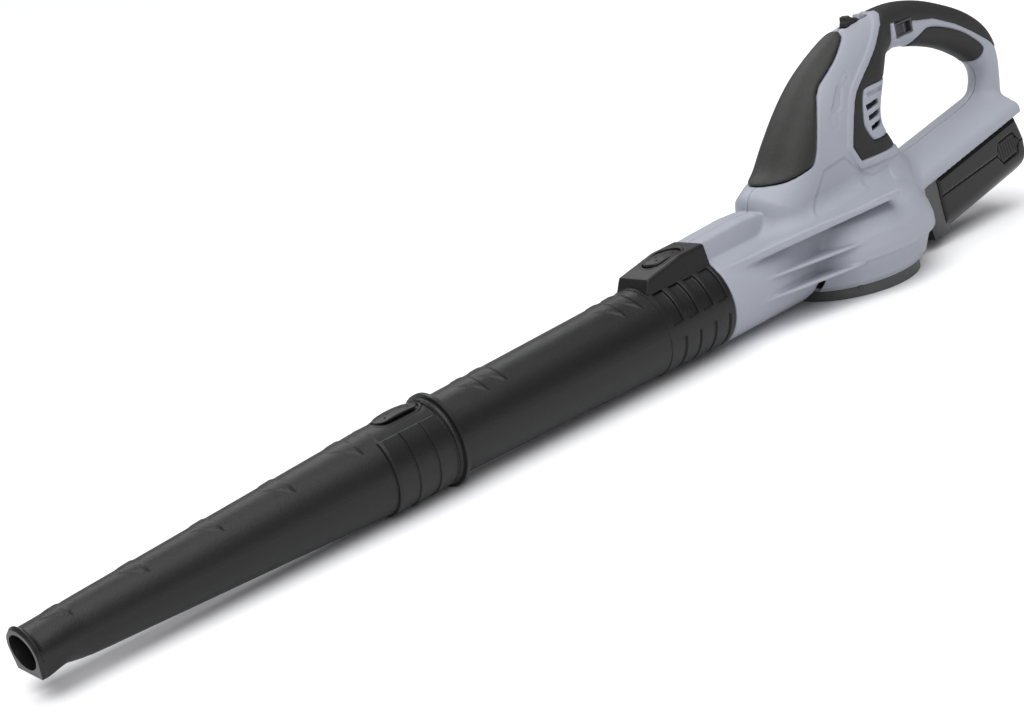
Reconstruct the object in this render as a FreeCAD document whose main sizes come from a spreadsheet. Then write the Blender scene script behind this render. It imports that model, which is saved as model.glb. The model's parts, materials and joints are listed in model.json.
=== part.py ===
"""Cordless leaf blower, modelled as the pieces it comes apart into.

The drawing frame is the tool's own: X runs back along the air tube from the
nozzle joint, Z is up and square to the tube, Y = 0 is the parting plane of the
two shells. At the end every piece is turned by the rest tilt and lifted, so
that the blower lies on the nozzle's bead and the intake grille, with +X
towards the battery and the origin under the middle of its bounding box.
"""
import FreeCAD, Part
import math
import os

import Sketcher

doc = FreeCAD.newDocument("LeafBlower")
Vector = FreeCAD.Vector
Rotation = FreeCAD.Rotation
X_AXIS, Y_AXIS, Z_AXIS = Vector(1, 0, 0), Vector(0, 1, 0), Vector(0, 0, 1)


# ---------------------------------------------------------------- sizes

SIZES = {
    # whole tool
    "rest_tilt": 1.05,
    "running_gap": 0.05,
    "part_gap": 0.4,
    "floor_gap": 2.5,
    # nozzle
    "nozzle_length": 336.0,
    "nozzle_neck_length": 36.0,
    "mouth_half_width": 20.0,
    "mouth_half_height": 13.6,
    "mouth_rise": 2.0,
    "mouth_lip_width": 2.2,
    "mouth_lip_length": 4.0,
    "mouth_foot_drop": 14.0,
    "mouth_foot_half_width": 18.5,
    "mouth_foot_length": 30.0,
    "nozzle_neck_radius": 19.5,
    "nozzle_root_radius": 31.6,
    "nozzle_socket_radius": 33.0,
    "nozzle_bead_radius": 36.0,
    "nozzle_bead_width": 4.0,
    "nozzle_socket_length": 60.0,
    "tube_wall": 2.2,
    "nozzle_button_x": -30.0,
    "nozzle_button_length": 38.0,
    "nozzle_button_width": 17.0,
    "nozzle_button_height": 2.6,
    "nozzle_button_travel": 1.2,
    # main tube and its collar
    "spigot_radius": 30.2,
    "spigot_length": 45.0,
    "tube_front_radius": 31.0,
    "tube_rear_radius": 35.5,
    "tube_length": 199.0,
    "collar_front_radius": 35.9,
    "collar_rear_radius": 37.5,
    "collar_length": 68.5,
    "outlet_radius": 33.2,
    "outlet_length": 62.0,
    "sleeve_shoulder": 3.6,
    "sleeve_flange_height": 1.4,
    "sleeve_flange_width": 2.5,
    "box_half_width": 17.0,
    "box_front_height": 42.6,
    "box_rear_height": 49.0,
    "box_wall": 2.4,
    "tube_button_x": 238.0,
    "tube_button_length": 34.0,
    "tube_button_width": 20.0,
    "tube_button_height": 4.5,
    "tube_button_proud": 0.5,
    "tube_button_travel": 2.5,
    "seal_offset": 20.0,
    "seal_width": 2.4,
    "seal_depth": 1.2,
    # fan housing
    "shell_wall": 2.6,
    "duct_radius": 37.5,
    "fan_axis_x": 432.0,
    "dome_radius": 76.0,
    "dome_top": 38.0,
    "dome_shoulder_radius": 50.0,
    "dome_shoulder": 33.0,
    "dome_waist": -3.0,
    "dome_base": -10.0,
    "cover_top_radius": 72.0,
    "cover_base_radius": 65.0,
    "cover_base": -33.0,
    "inlet_radius": 36.0,
    "inlet_ring_height": 7.0,
    "inlet_ring_wall": 2.0,
    "grille_radius": 57.0,
    "grille_plate": 2.5,
    "grille_rim_width": 3.0,
    "spine_half_width": 15.0,
    "spine_height": 51.0,
    "spine_end_x": 350.0,
    # motor and fan
    "partition_height": 12.0,
    "partition_thickness": 3.0,
    "partition_radius": 60.0,
    "cover_post_radius": 2.6,
    "cover_post_circle": 60.2,
    "cover_screw_radius": 1.2,
    "motor_radius": 22.0,
    "motor_length": 56.0,
    "motor_wall": 1.6,
    "bell_height": 7.0,
    "bearing_radius": 6.5,
    "bearing_height": 4.0,
    "bearing_gap": 0.12,
    "shaft_radius": 2.5,
    "rotor_radius": 17.0,
    "rotor_length": 38.0,
    "impeller_radius": 54.0,
    "impeller_plate": 2.0,
    "impeller_top": 8.0,
    "impeller_depth": 26.0,
    "impeller_hub_radius": 9.0,
    "blade_thickness": 1.8,
    "blade_sweep": 32.0,
    "nut_radius": 5.0,
    "nut_height": 4.0,
    "motor_screw_circle": 13.0,
    "motor_screw_radius": 1.5,
    # handle
    "grip_depth": 1.6,
    "arm_half_width": 35.0,
    "arm_top_half_width": 14.0,
    "arm_height": 21.0,
    "arm_front": -62.0,
    "arm_rear": 112.0,
    # speed lever and switch
    "lever_x": 494.0,
    "lever_height": 146.0,
    "lever_radius": 12.0,
    "lever_width": 9.0,
    "lever_tab_height": 19.0,
    "lever_tab_length": 14.0,
    "lever_pin_radius": 2.0,
    "pot_radius": 5.5,
    "pot_length": 5.0,
    "switch_x": 536.0,
    "switch_height": 139.5,
    "switch_length": 21.0,
    "switch_width": 12.0,
    "switch_depth": 11.0,
    "switch_face": 15.6,
    "rocker_length": 16.0,
    "rocker_width": 8.0,
    "rocker_depth": 4.0,
    "rocker_pin_radius": 1.4,
    "rocker_angle": 9.0,
    # battery and its dock
    "battery_pitch": 9.5,
    "dock_x": 530.0,
    "dock_height": 15.0,
    "battery_front": -12.0,
    "battery_length": 115.0,
    "battery_half_width": 35.0,
    "battery_height": 48.0,
    "battery_split": 20.0,
    "battery_wall": 2.2,
    "battery_corner": 15.0,
    "channel_half_width": 26.0,
    "channel_neck": 22.0,
    "channel_lip": 3.0,
    "channel_height": 9.0,
    "dock_wall": 2.0,
    "socket_length": 22.0,
    "socket_half_width": 33.0,
    "socket_depth": 46.0,
    "cell_radius": 9.2,
    "cell_length": 65.0,
    "battery_button_length": 22.0,
    "battery_button_width": 20.0,
    "battery_button_depth": 3.4,
    "battery_button_travel": 2.0,
    # fasteners
    "screw_radius": 1.6,
    "screw_head_radius": 3.0,
    "screw_head_height": 2.4,
    "boss_wall": 2.4,
}

sheet = doc.addObject("Spreadsheet::Sheet", "Sizes")
for row, (alias, value) in enumerate(SIZES.items(), start=1):
    sheet.set(f"A{row}", alias)
    sheet.set(f"B{row}", str(value))
    sheet.setAlias(f"B{row}", alias)
doc.recompute()


class Size:
    """A number together with the spreadsheet formula that gives it."""

    def __init__(self, value, formula):
        self.value = value
        self.formula = formula

    def __add__(self, other):
        other = as_size(other)
        return Size(self.value + other.value, f"({self.formula} + {other.formula})")

    def __sub__(self, other):
        other = as_size(other)
        return Size(self.value - other.value, f"({self.formula} - {other.formula})")

    def __mul__(self, other):
        other = as_size(other)
        return Size(self.value * other.value, f"({self.formula} * {other.formula})")

    def __truediv__(self, other):
        other = as_size(other)
        return Size(self.value / other.value, f"({self.formula} / {other.formula})")

    def __neg__(self):
        return Size(-self.value, f"(0 - {self.formula})")

    def __radd__(self, other):
        return as_size(other) + self

    def __rsub__(self, other):
        return as_size(other) - self

    __rmul__ = __mul__


def as_size(number):
    return number if isinstance(number, Size) else Size(float(number), f"({number})")


class Dimensions:
    """The sheet's sizes by name: dim.tube_wall and so on."""


dim = Dimensions()
for alias, value in SIZES.items():
    setattr(dim, alias, Size(value, f"Sizes.{alias}"))


# ---------------------------------------------------------------- building blocks

def bind(thing, **sizes):
    """Tie each named property to the sheet."""
    for name, size in sizes.items():
        thing.setExpression(name, as_size(size).formula)
    return thing


def place(thing, x=0, y=0, z=0, rotation=None):
    """Put a piece at a point that follows the sheet."""
    thing.Placement = FreeCAD.Placement(Vector(0, 0, 0), rotation or Rotation())
    for letter, size in (("x", x), ("y", y), ("z", z)):
        thing.setExpression("Placement.Base." + letter, as_size(size).formula)
    return thing


def outline_body(label, corners, plane="XZ_Plane"):
    """A body with one closed sketch, every corner driven by the sheet."""
    body = doc.addObject("PartDesign::Body", label)
    sketch = body.newObject("Sketcher::SketchObject", label + "_outline")
    support = [item for item in body.Origin.OriginFeatures if item.Role == plane][0]
    sketch.AttachmentSupport = [(support, "")]
    sketch.MapMode = "FlatFace"
    corners = [(as_size(across), as_size(up)) for across, up in corners]
    count = len(corners)
    for index, (across, up) in enumerate(corners):
        next_across, next_up = corners[(index + 1) % count]
        start = Vector(across.value, up.value, 0)
        end = Vector(next_across.value, next_up.value, 0)
        sketch.addGeometry(Part.LineSegment(start, end))
    for index, (across, up) in enumerate(corners):
        sketch.addConstraint(Sketcher.Constraint("Coincident", index, 2, (index + 1) % count, 1))
        for kind, size in (("DistanceX", across), ("DistanceY", up)):
            number = sketch.addConstraint(Sketcher.Constraint(kind, -1, 1, index, 1, size.value))
            sketch.setExpression(f"Constraints[{number}]", size.formula)
    return body, sketch


def turned(label, corners, axis="H_Axis"):
    """An outline of (along, radius) turned about X, or (radius, height) about Z."""
    body, sketch = outline_body(label, corners)
    turn = body.newObject("PartDesign::Revolution", label + "_turn")
    turn.Profile = sketch
    turn.ReferenceAxis = (sketch, [axis])
    turn.Angle = 360
    sketch.Visibility = False
    return body


def padded(label, corners, width, plane="XZ_Plane", midplane=True):
    """An outline pushed out, by default half to each side of its plane."""
    body, sketch = outline_body(label, corners, plane)
    pad = body.newObject("PartDesign::Pad", label + "_pad")
    pad.Profile = sketch
    pad.Midplane = midplane
    bind(pad, Length=width)
    return body


def cylinder(label, radius, height, x=0, y=0, z=0, along=Z_AXIS):
    rod = doc.addObject("Part::Cylinder", label)
    bind(rod, Radius=radius, Height=height)
    return place(rod, x, y, z, Rotation(Z_AXIS, along))


def block(label, low, size):
    brick = doc.addObject("Part::Box", label)
    bind(brick, Length=size[0], Width=size[1], Height=size[2])
    return place(brick, *low)


def centred_block(label, x, half_width, z, length, height):
    """A block from x and z on, and as wide to the left as to the right."""
    half_width = as_size(half_width)
    return block(label, (x, -half_width, z), (length, 2 * half_width, height))


def fuse(label, *pieces):
    union = doc.addObject("Part::MultiFuse", label)
    union.Shapes = list(pieces)
    union.Refine = False
    return union


def cut(label, base, *tools):
    """Take the tools away one after another."""
    for index, tool in enumerate(tools):
        result = doc.addObject("Part::Cut", f"{label}_{index}")
        result.Base = base
        result.Tool = tool
        result.Refine = False
        base = result
    return base


def common(label, first, second):
    result = doc.addObject("Part::Common", label)
    result.Base = first
    result.Tool = second
    result.Refine = False
    return result


def oval(label, x, z, half_wide, half_high, rotation):
    """An ellipse as a loft station; half_wide is the larger half axis."""
    ring = doc.addObject("Part::Ellipse", label)
    bind(ring, MajorRadius=half_wide, MinorRadius=half_high)
    return place(ring, x, 0, z, rotation)


def loft(label, stations, ruled=False):
    skin = doc.addObject("Part::Loft", label)
    skin.Sections = stations
    skin.Solid = True
    skin.Ruled = ruled
    return skin


def oval_slab(label, length, width, height, x, z):
    """An upright oval prism, for the two latch buttons and their windows."""
    length, width = as_size(length), as_size(width)
    ring = doc.addObject("Part::Ellipse", label + "_ring")
    bind(ring, MajorRadius=length / 2, MinorRadius=width / 2)
    place(ring, x, 0, z)
    slab = doc.addObject("Part::Extrusion", label)
    slab.Base = ring
    slab.Dir = Z_AXIS
    slab.DirMode = "Custom"
    slab.Solid = True
    bind(slab, LengthFwd=height)
    return slab


SUBPARTS = []


def subpart(label, *pieces):
    """Name a finished piece, or a group of like pieces, as one node."""
    node = doc.addObject("Part::Compound", label)
    node.Links = list(pieces)
    node.Label = label
    SUBPARTS.append(node)
    return node


TILT = math.radians(SIZES["rest_tilt"])


def floor_drop(x):
    """How far the floor lies below the tube axis at x: it touches the nozzle's bead."""
    slope = Size(math.tan(TILT), "tan(Sizes.rest_tilt * 1 deg)")
    return dim.nozzle_bead_radius + (as_size(x) + dim.nozzle_bead_width) * slope


# everything inside this block is below the floor
FLOOR_REACH = 2000
floor_block = doc.addObject("Part::Box", "floor_block")
bind(floor_block, Length=FLOOR_REACH, Width=FLOOR_REACH, Height=FLOOR_REACH)
floor_turn = Rotation(Y_AXIS, SIZES["rest_tilt"])
floor_middle = Vector(0, 0, -floor_drop(0).value)
floor_corner = Vector(-FLOOR_REACH / 2, -FLOOR_REACH / 2, -FLOOR_REACH)
floor_block.Placement = FreeCAD.Placement(floor_middle + floor_turn.multVec(floor_corner), floor_turn)


# ---------------------------------------------------------------- nozzle

ACROSS_TUBE = Rotation(Y_AXIS, Z_AXIS, X_AXIS)      # the larger half axis lies along Y
mouth_x = -dim.nozzle_length
neck_x = mouth_x + dim.nozzle_neck_length
lip_x = mouth_x + dim.mouth_lip_length
socket_x = -dim.nozzle_socket_length
wall = dim.tube_wall


def neck(label, inset, reach):
    """The flattened front of the nozzle, from its oval mouth to its round neck."""
    tip = oval(label + "_tip", mouth_x - reach, dim.mouth_rise, dim.mouth_half_width - inset,
               dim.mouth_half_height - inset, ACROSS_TUBE)
    root = oval(label + "_root", neck_x + 6, 0, dim.nozzle_neck_radius - inset,
                dim.nozzle_neck_radius - inset, ACROSS_TUBE)
    return loft(label, [tip, root])


lip = loft("nozzle_lip", [
    oval("nozzle_lip_front", mouth_x, dim.mouth_rise, dim.mouth_half_width + dim.mouth_lip_width,
         dim.mouth_half_height + dim.mouth_lip_width, ACROSS_TUBE),
    oval("nozzle_lip_back", lip_x, dim.mouth_rise, dim.mouth_half_width + dim.mouth_lip_width,
         dim.mouth_half_height + dim.mouth_lip_width, ACROSS_TUBE),
])
nozzle_cone = turned("nozzle_cone", [
    (neck_x, 0),
    (neck_x, dim.nozzle_neck_radius),
    (socket_x, dim.nozzle_root_radius),
    (socket_x, dim.nozzle_socket_radius),
    (-dim.nozzle_bead_width, dim.nozzle_socket_radius),
    (-dim.nozzle_bead_width, dim.nozzle_bead_radius),
    (0, dim.nozzle_bead_radius),
    (0, 0),
])
nozzle_bore = turned("nozzle_bore", [
    (neck_x, 0),
    (neck_x, dim.nozzle_neck_radius - wall),
    (-dim.spigot_length - dim.part_gap, dim.spigot_radius - wall),
    (-dim.spigot_length - dim.part_gap, dim.spigot_radius + dim.running_gap),
    (0, dim.spigot_radius + dim.running_gap),
    (0, 0),
])
foot_block = centred_block("nozzle_foot_block", mouth_x, dim.mouth_foot_half_width,
                           -dim.mouth_foot_drop, dim.mouth_foot_length, dim.mouth_foot_drop - 4)
nozzle_window = oval_slab("nozzle_button_window", dim.nozzle_button_length + 2 * dim.part_gap,
                          dim.nozzle_button_width + 2 * dim.part_gap, 20,
                          dim.nozzle_button_x, dim.spigot_radius - 5)
nozzle_outer = fuse("nozzle_outer", neck("nozzle_neck", 0, 0), lip, nozzle_cone, foot_block)
nozzle = cut("nozzle_shape", nozzle_outer, neck("nozzle_mouth", wall, 0.01), nozzle_bore,
             nozzle_window)
subpart("nozzle", nozzle)

button_rest = dim.tube_front_radius + dim.part_gap / 2 + dim.nozzle_button_travel
nozzle_button = oval_slab("nozzle_button_cap", dim.nozzle_button_length, dim.nozzle_button_width,
                          dim.nozzle_button_height, dim.nozzle_button_x, button_rest)
subpart("nozzle_button", nozzle_button)


# ---------------------------------------------------------------- main tube and collar

collar_x = dim.tube_length
collar_end = collar_x + dim.collar_length
outlet_x = collar_end - dim.outlet_length
tube_body = turned("tube_body", [
    (-dim.spigot_length, dim.spigot_radius - wall),
    (-dim.spigot_length, dim.spigot_radius),
    (dim.running_gap, dim.spigot_radius),
    (dim.running_gap, dim.tube_front_radius),
    (collar_x, dim.tube_rear_radius),
    (collar_x, dim.collar_front_radius),
    (collar_end, dim.collar_rear_radius),
    (collar_end, dim.outlet_radius + dim.running_gap),
    (outlet_x - dim.part_gap, dim.outlet_radius + dim.running_gap),
    (outlet_x - dim.part_gap, dim.outlet_radius - wall),
    (0, dim.spigot_radius - wall),
])
collar_box = padded("collar_box", [
    (collar_x + 3, dim.tube_front_radius),
    (collar_x + 7, dim.box_front_height),
    (dim.tube_button_x + 4, dim.box_rear_height),
    (collar_end, dim.box_rear_height),
    (collar_end, dim.tube_front_radius),
], dim.box_half_width * 2)
box_floor = dim.collar_rear_radius + 0.2
collar_cavity = padded("collar_cavity", [
    (collar_x + 13, box_floor),
    (collar_x + 13, dim.box_front_height - dim.box_wall),
    (dim.tube_button_x + 4, dim.box_rear_height - dim.box_wall),
    (collar_end - 5, dim.box_rear_height - dim.box_wall),
    (collar_end - 5, box_floor),
], (dim.box_half_width - dim.box_wall) * 2)
collar_bore = cylinder("collar_bore", dim.outlet_radius + dim.running_gap,
                       dim.outlet_length + dim.part_gap, outlet_x - dim.part_gap, 0, 0, X_AXIS)
tube_window = oval_slab("tube_button_window", dim.tube_button_length + 2 * dim.part_gap,
                        dim.tube_button_width + 2 * dim.part_gap, 20,
                        dim.tube_button_x, box_floor + 2)
main_tube = cut("main_tube_shape", fuse("main_tube_solid", tube_body, collar_box),
                collar_cavity, collar_bore, tube_window)
subpart("main_tube", main_tube)

tube_button_low = dim.box_rear_height + dim.tube_button_proud - dim.tube_button_height
tube_button = oval_slab("tube_button_cap", dim.tube_button_length, dim.tube_button_width,
                        dim.tube_button_height, dim.tube_button_x, tube_button_low)
subpart("tube_button", tube_button)
spring_wire = 0.6
spring_height = tube_button_low - box_floor
tube_spring = cut("tube_button_coil",
                  cylinder("tube_spring_outside", 4.0, spring_height - 0.1,
                           dim.tube_button_x, 0, box_floor + 0.05),
                  cylinder("tube_spring_inside", 4.0 - spring_wire, spring_height,
                           dim.tube_button_x, 0, box_floor))
subpart("tube_button_spring", tube_spring)

seal_x = outlet_x + dim.seal_offset
seal_ring = turned("seal_ring", [
    (seal_x, dim.outlet_radius - dim.seal_depth),
    (seal_x, dim.outlet_radius + dim.running_gap / 2),
    (seal_x + dim.seal_width, dim.outlet_radius + dim.running_gap / 2),
    (seal_x + dim.seal_width, dim.outlet_radius - dim.seal_depth),
])
subpart("tube_seal", seal_ring)


# ---------------------------------------------------------------- housing shells

fan_x = dim.fan_axis_x
shoulder_x = collar_end + dim.part_gap

# column stations: height, front, rear and half width of the oval plan
COLUMN = [
    (12, 326, 508, 33),
    (40, 332, 508, 33),
    (66, 342, 500, 31),
    (90, 364, 489, 29),
    (115, 398, 504, 27),
    (135, 428, 520, 23),
    (154, 458, 534, 18),
]
# handle stations: middle x and z, path angle, half height and half width
HANDLE = [
    (484, 137, 2, 17.5, 15),
    (540, 140, -6, 18, 15),
    (588, 127, -27, 17.5, 15),
    (624, 101, -50, 15, 14),
    (641, 68, -84, 13.2, 13),
    (639, 44, -95, 13.2, 13),
]
battery_turn = Rotation(Y_AXIS, -SIZES["battery_pitch"])
battery_frame = FreeCAD.Placement(Vector(SIZES["dock_x"], 0, SIZES["dock_height"]), battery_turn)


def at_battery(thing):
    """Move a piece drawn in the battery's own frame to its place under the arm."""
    thing.Placement = battery_frame.multiply(thing.Placement)
    return thing


def battery_block(label, x, half_width, z, length, height):
    """A centred block in the battery's frame, where X is the sliding direction."""
    half_width = as_size(half_width)
    brick = doc.addObject("Part::Box", label)
    bind(brick, Length=length, Width=2 * half_width, Height=height)
    low = Vector(as_size(x).value, -half_width.value, as_size(z).value)
    brick.Placement = battery_frame.multiply(FreeCAD.Placement(low, Rotation()))
    return brick


def housing_layer(label, inset, floor_level, duct_front):
    """The whole outside of the housing, drawn in by an inset."""
    inset = as_size(inset)
    # the duct stops short of the grille, and its hollow runs on into the fan chamber
    duct_end = fan_x - dim.grille_radius - dim.part_gap + 10 * inset
    duct = cylinder(label + "_duct", dim.duct_radius - inset, duct_end - duct_front,
                    duct_front, 0, 0, X_AXIS)
    dome = place(turned(label + "_dome", [
        (0, floor_level),
        (dim.dome_radius - inset, floor_level),
        (dim.dome_radius - inset, dim.dome_waist),
        (dim.dome_radius - 7 - inset, dim.dome_shoulder / 2),
        (dim.dome_shoulder_radius - inset, dim.dome_shoulder - inset),
        (0, dim.dome_top - inset),
    ], "V_Axis"), x=fan_x)
    spine = padded(label + "_spine", [
        (duct_front, 20),
        (duct_front, dim.box_rear_height - inset),
        (duct_front + 45, dim.spine_height - inset),
        (dim.spine_end_x, dim.spine_height - 8),
        (dim.spine_end_x, 20),
    ], (dim.spine_half_width - inset) * 2)
    column = loft(label + "_column", [
        oval(f"{label}_column_{index}", (front + rear) / 2, height, (rear - front) / 2 - inset,
             half_width - inset, Rotation())
        for index, (height, front, rear, half_width) in enumerate(COLUMN)
    ])
    handle_stations = []
    for index, (x, z, angle, half_high, half_wide) in enumerate(HANDLE):
        along = Vector(math.cos(math.radians(angle)), 0, math.sin(math.radians(angle)))
        outward = Vector(-along.z, 0, along.x)
        turn = Rotation(outward, Vector(0, -1, 0), along)
        handle_stations.append(oval(f"{label}_handle_{index}", x, z, half_high - inset,
                                    half_wide - inset, turn))
    handle = loft(label + "_handle", handle_stations)
    arm = padded(label + "_arm", [
        (-(dim.arm_half_width - inset), 0),
        (-(dim.arm_half_width - inset), 3),
        (-(dim.arm_top_half_width - inset), dim.arm_height - inset),
        (dim.arm_top_half_width - inset, dim.arm_height - inset),
        (dim.arm_half_width - inset, 3),
        (dim.arm_half_width - inset, 0),
    ], dim.arm_rear - dim.arm_front - 2 * inset, "YZ_Plane", False)
    low = Vector((dim.arm_front + inset).value, 0, 0)
    arm.Placement = battery_frame.multiply(FreeCAD.Placement(low, Rotation()))
    return fuse(label, duct, dome, spine, column, handle, arm)


skin = housing_layer("housing_skin", 0, dim.dome_base, shoulder_x)
under_grip = housing_layer("housing_under_grip", dim.grip_depth, dim.dome_base, shoulder_x)
hollow = housing_layer("housing_hollow", dim.shell_wall, dim.dome_base, shoulder_x - 5)


def region(label, corners):
    """A side-view outline pushed right through the housing."""
    return padded(label, corners, 300)


hood_region = region("hood_region", [
    (300, 66), (338, 66), (368, 63), (386, 63), (403, 68), (409, 76), (416, 99),
    (422, 118), (433, 129), (450, 139), (466, 149), (466, 175), (300, 175),
])
vent_region = region("vent_region", [
    (476, 63), (470, 75), (471, 90), (477, 103), (484, 106), (530, 106), (530, 63),
])
grip_region = region("grip_region", [
    (448, 51), (444, 63), (452, 86), (463, 107), (484, 121), (499, 136), (508, 148),
    (512, 172), (680, 172), (680, 78), (653, 78), (640, 96), (622, 117), (600, 134),
    (575, 144), (550, 147), (525, 147), (524, 120), (530, 106), (530, 51),
])
palm_region = region("palm_region", [
    (546, 100), (560, 131), (584, 131), (606, 119), (630, 97), (620, 70), (560, 70),
])
lever_slot = centred_block("lever_slot", dim.lever_x - dim.lever_radius - 10,
                           (dim.lever_width + 1) / 2, dim.lever_height + 2,
                           2 * dim.lever_radius + 20, 40)
switch_room = block("switch_room",
                    (dim.switch_x - dim.switch_length / 2, -30,
                     dim.switch_height - dim.switch_width / 2),
                    (dim.switch_length, 30 - dim.switch_face + dim.switch_depth,
                     dim.switch_width))
channel_room = battery_block("channel_room", dim.battery_front - 1,
                             dim.channel_half_width + dim.dock_wall, -1,
                             dim.arm_rear - dim.battery_front + 20,
                             dim.channel_height + dim.dock_wall + 1)
arm_end_plug = battery_block("arm_end_plug", dim.battery_front - 6,
                             dim.arm_half_width + 5, -60, 200, 60)

# the sleeve that the tube slides onto is clamped between the two shells by its flange
shoulder_end = shoulder_x + dim.sleeve_shoulder
shoulder = turned("housing_shoulder", [
    (shoulder_x, dim.outlet_radius + dim.running_gap),
    (shoulder_x, dim.duct_radius),
    (shoulder_end, dim.duct_radius),
    (shoulder_end, dim.outlet_radius + dim.running_gap),
])
flange_x = shoulder_end + dim.running_gap
outlet_sleeve = turned("outlet_sleeve_turn", [
    (outlet_x, dim.outlet_radius - dim.tube_wall),
    (outlet_x, dim.outlet_radius),
    (seal_x, dim.outlet_radius),
    (seal_x, dim.outlet_radius - dim.seal_depth),
    (seal_x + dim.seal_width, dim.outlet_radius - dim.seal_depth),
    (seal_x + dim.seal_width, dim.outlet_radius),
    (flange_x, dim.outlet_radius),
    (flange_x, dim.outlet_radius + dim.sleeve_flange_height),
    (flange_x + dim.sleeve_flange_width, dim.outlet_radius + dim.sleeve_flange_height),
    (flange_x + dim.sleeve_flange_width, dim.outlet_radius - dim.tube_wall),
])
subpart("outlet_sleeve", outlet_sleeve)

# side-view places of the screws that close the two shells
CASE_SCREWS = [(300, 43.5), (396, 50), (474, 54), (455, 128), (575, 136.5), (617, 112.5),
               (645, 64)]


def case_screw_stack(label, clearance, in_boss):
    """One body per screw: its boss, its hole, or the screw itself."""
    stack = []
    for index, (x, z) in enumerate(CASE_SCREWS):
        if in_boss:
            radius = dim.screw_head_radius + dim.boss_wall
            stack.append(cylinder(f"{label}_{index}", radius, 80, x, -40, z, Y_AXIS))
            continue
        shank = cylinder(f"{label}_shank_{index}", dim.screw_radius + clearance,
                         14 + clearance, x, -8 - clearance, z, Y_AXIS)
        head = cylinder(f"{label}_head_{index}", dim.screw_head_radius + clearance,
                        dim.screw_head_height if clearance == 0 else 80, x, 6, z, Y_AXIS)
        stack.append(fuse(f"{label}_{index}", shank, head))
    return stack


bosses = common("case_bosses", fuse("case_boss_rods", *case_screw_stack("case_boss", 0, True)),
                hollow)
screw_holes = fuse("case_screw_holes", *case_screw_stack("case_hole", 0.05, False))
case_screws = case_screw_stack("case_screw", 0, False)

walls = cut("housing_walls", skin, hollow)
under_walls = cut("under_grip_walls", under_grip, hollow)
grip_skin = cut("grip_skin", common("grip_area", walls, grip_region), under_grip, vent_region,
                lever_slot, switch_room)
palm_skin = cut("palm_skin", common("palm_area", walls, palm_region), under_grip)

# the shell is thinner where a soft grip is moulded over it
bare_walls = cut("bare_walls", skin, grip_region, palm_region, hood_region,
                 channel_room, arm_end_plug, lever_slot, switch_room, hollow)
grip_walls = cut("grip_walls", common("grip_wall_area", under_walls, grip_region), vent_region,
                 lever_slot, switch_room)
palm_walls = common("palm_walls", under_walls, palm_region)
shells = fuse("shells_solid", bare_walls, grip_walls, palm_walls, shoulder, bosses)
HALF = 400
left_half = block("left_half", (-100, -HALF, -HALF), (2 * HALF, HALF, 2 * HALF))
right_half = block("right_half", (-100, 0, -HALF), (2 * HALF, HALF, 2 * HALF))
for side, half in (("left", left_half), ("right", right_half)):
    shell_half = common(side + "_shell_half", shells, half)
    subpart(side + "_shell", cut(side + "_shell_drilled", shell_half, screw_holes))
    subpart(side + "_grip", common(side + "_grip_shape", grip_skin, half))
subpart("palm_grip", palm_skin)
hood = cut("hood_shape", common("hood_area", walls, hood_region), lever_slot)
subpart("front_hood", hood)
VENT_SLOTS = 3
slots = [block(f"vent_slot_{index}", (475, -40, 69 + 10 * index), (11, 80, 5))
         for index in range(VENT_SLOTS)]
vent = cut("vent_shape", common("vent_area", walls, vent_region), *slots)
subpart("motor_vent", vent)
subpart("case_screws", *case_screws)


# ---------------------------------------------------------------- bottom cover and grille

partition_z = dim.partition_height
cover_floor = dim.cover_base + dim.shell_wall
post_angles = (50, 130, 230, 310)


def round_the_fan(angle, circle):
    """A point on a circle about the fan axis, as sheet formulas."""
    cosine = Size(math.cos(math.radians(angle)), f"cos({angle} deg)")
    sine = Size(math.sin(math.radians(angle)), f"sin({angle} deg)")
    return fan_x + circle * cosine, circle * sine


cover_cup = place(turned("cover_cup", [
    (dim.inlet_radius, dim.cover_base),
    (dim.cover_base_radius - 4, dim.cover_base),
    (dim.cover_base_radius, dim.cover_base + 4),
    (dim.cover_top_radius, dim.dome_base),
    (dim.cover_top_radius - dim.shell_wall, dim.dome_base),
    (dim.cover_base_radius - dim.shell_wall, cover_floor),
    (dim.inlet_radius + dim.inlet_ring_wall, cover_floor),
    (dim.inlet_radius + dim.inlet_ring_wall, cover_floor + dim.inlet_ring_height),
    (dim.inlet_radius, cover_floor + dim.inlet_ring_height),
], "V_Axis"), x=fan_x)
duct_room = cylinder("duct_room", dim.duct_radius + dim.part_gap,
                     fan_x - dim.grille_radius - shoulder_x, shoulder_x, 0, 0, X_AXIS)
cover_holes = []
cover_screws = []
for number, angle in enumerate(post_angles):
    post_x, post_y = round_the_fan(angle, dim.cover_post_circle)
    cover_holes.append(cylinder(f"cover_hole_{number}", dim.cover_screw_radius + 0.05, 30,
                                post_x, post_y, dim.cover_base - 5))
    cover_screws.append(fuse(
        f"cover_screw_{number}",
        cylinder(f"cover_shank_{number}", dim.cover_screw_radius, 12, post_x, post_y,
                 dim.cover_base - 0.5),
        cylinder(f"cover_head_{number}", 2.2, 1.6, post_x, post_y, dim.cover_base - 1.6)))
bottom_cover = cut("bottom_cover_shape", cover_cup, duct_room, *cover_holes)
subpart("bottom_cover", bottom_cover)
subpart("cover_screws", *cover_screws)

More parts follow.
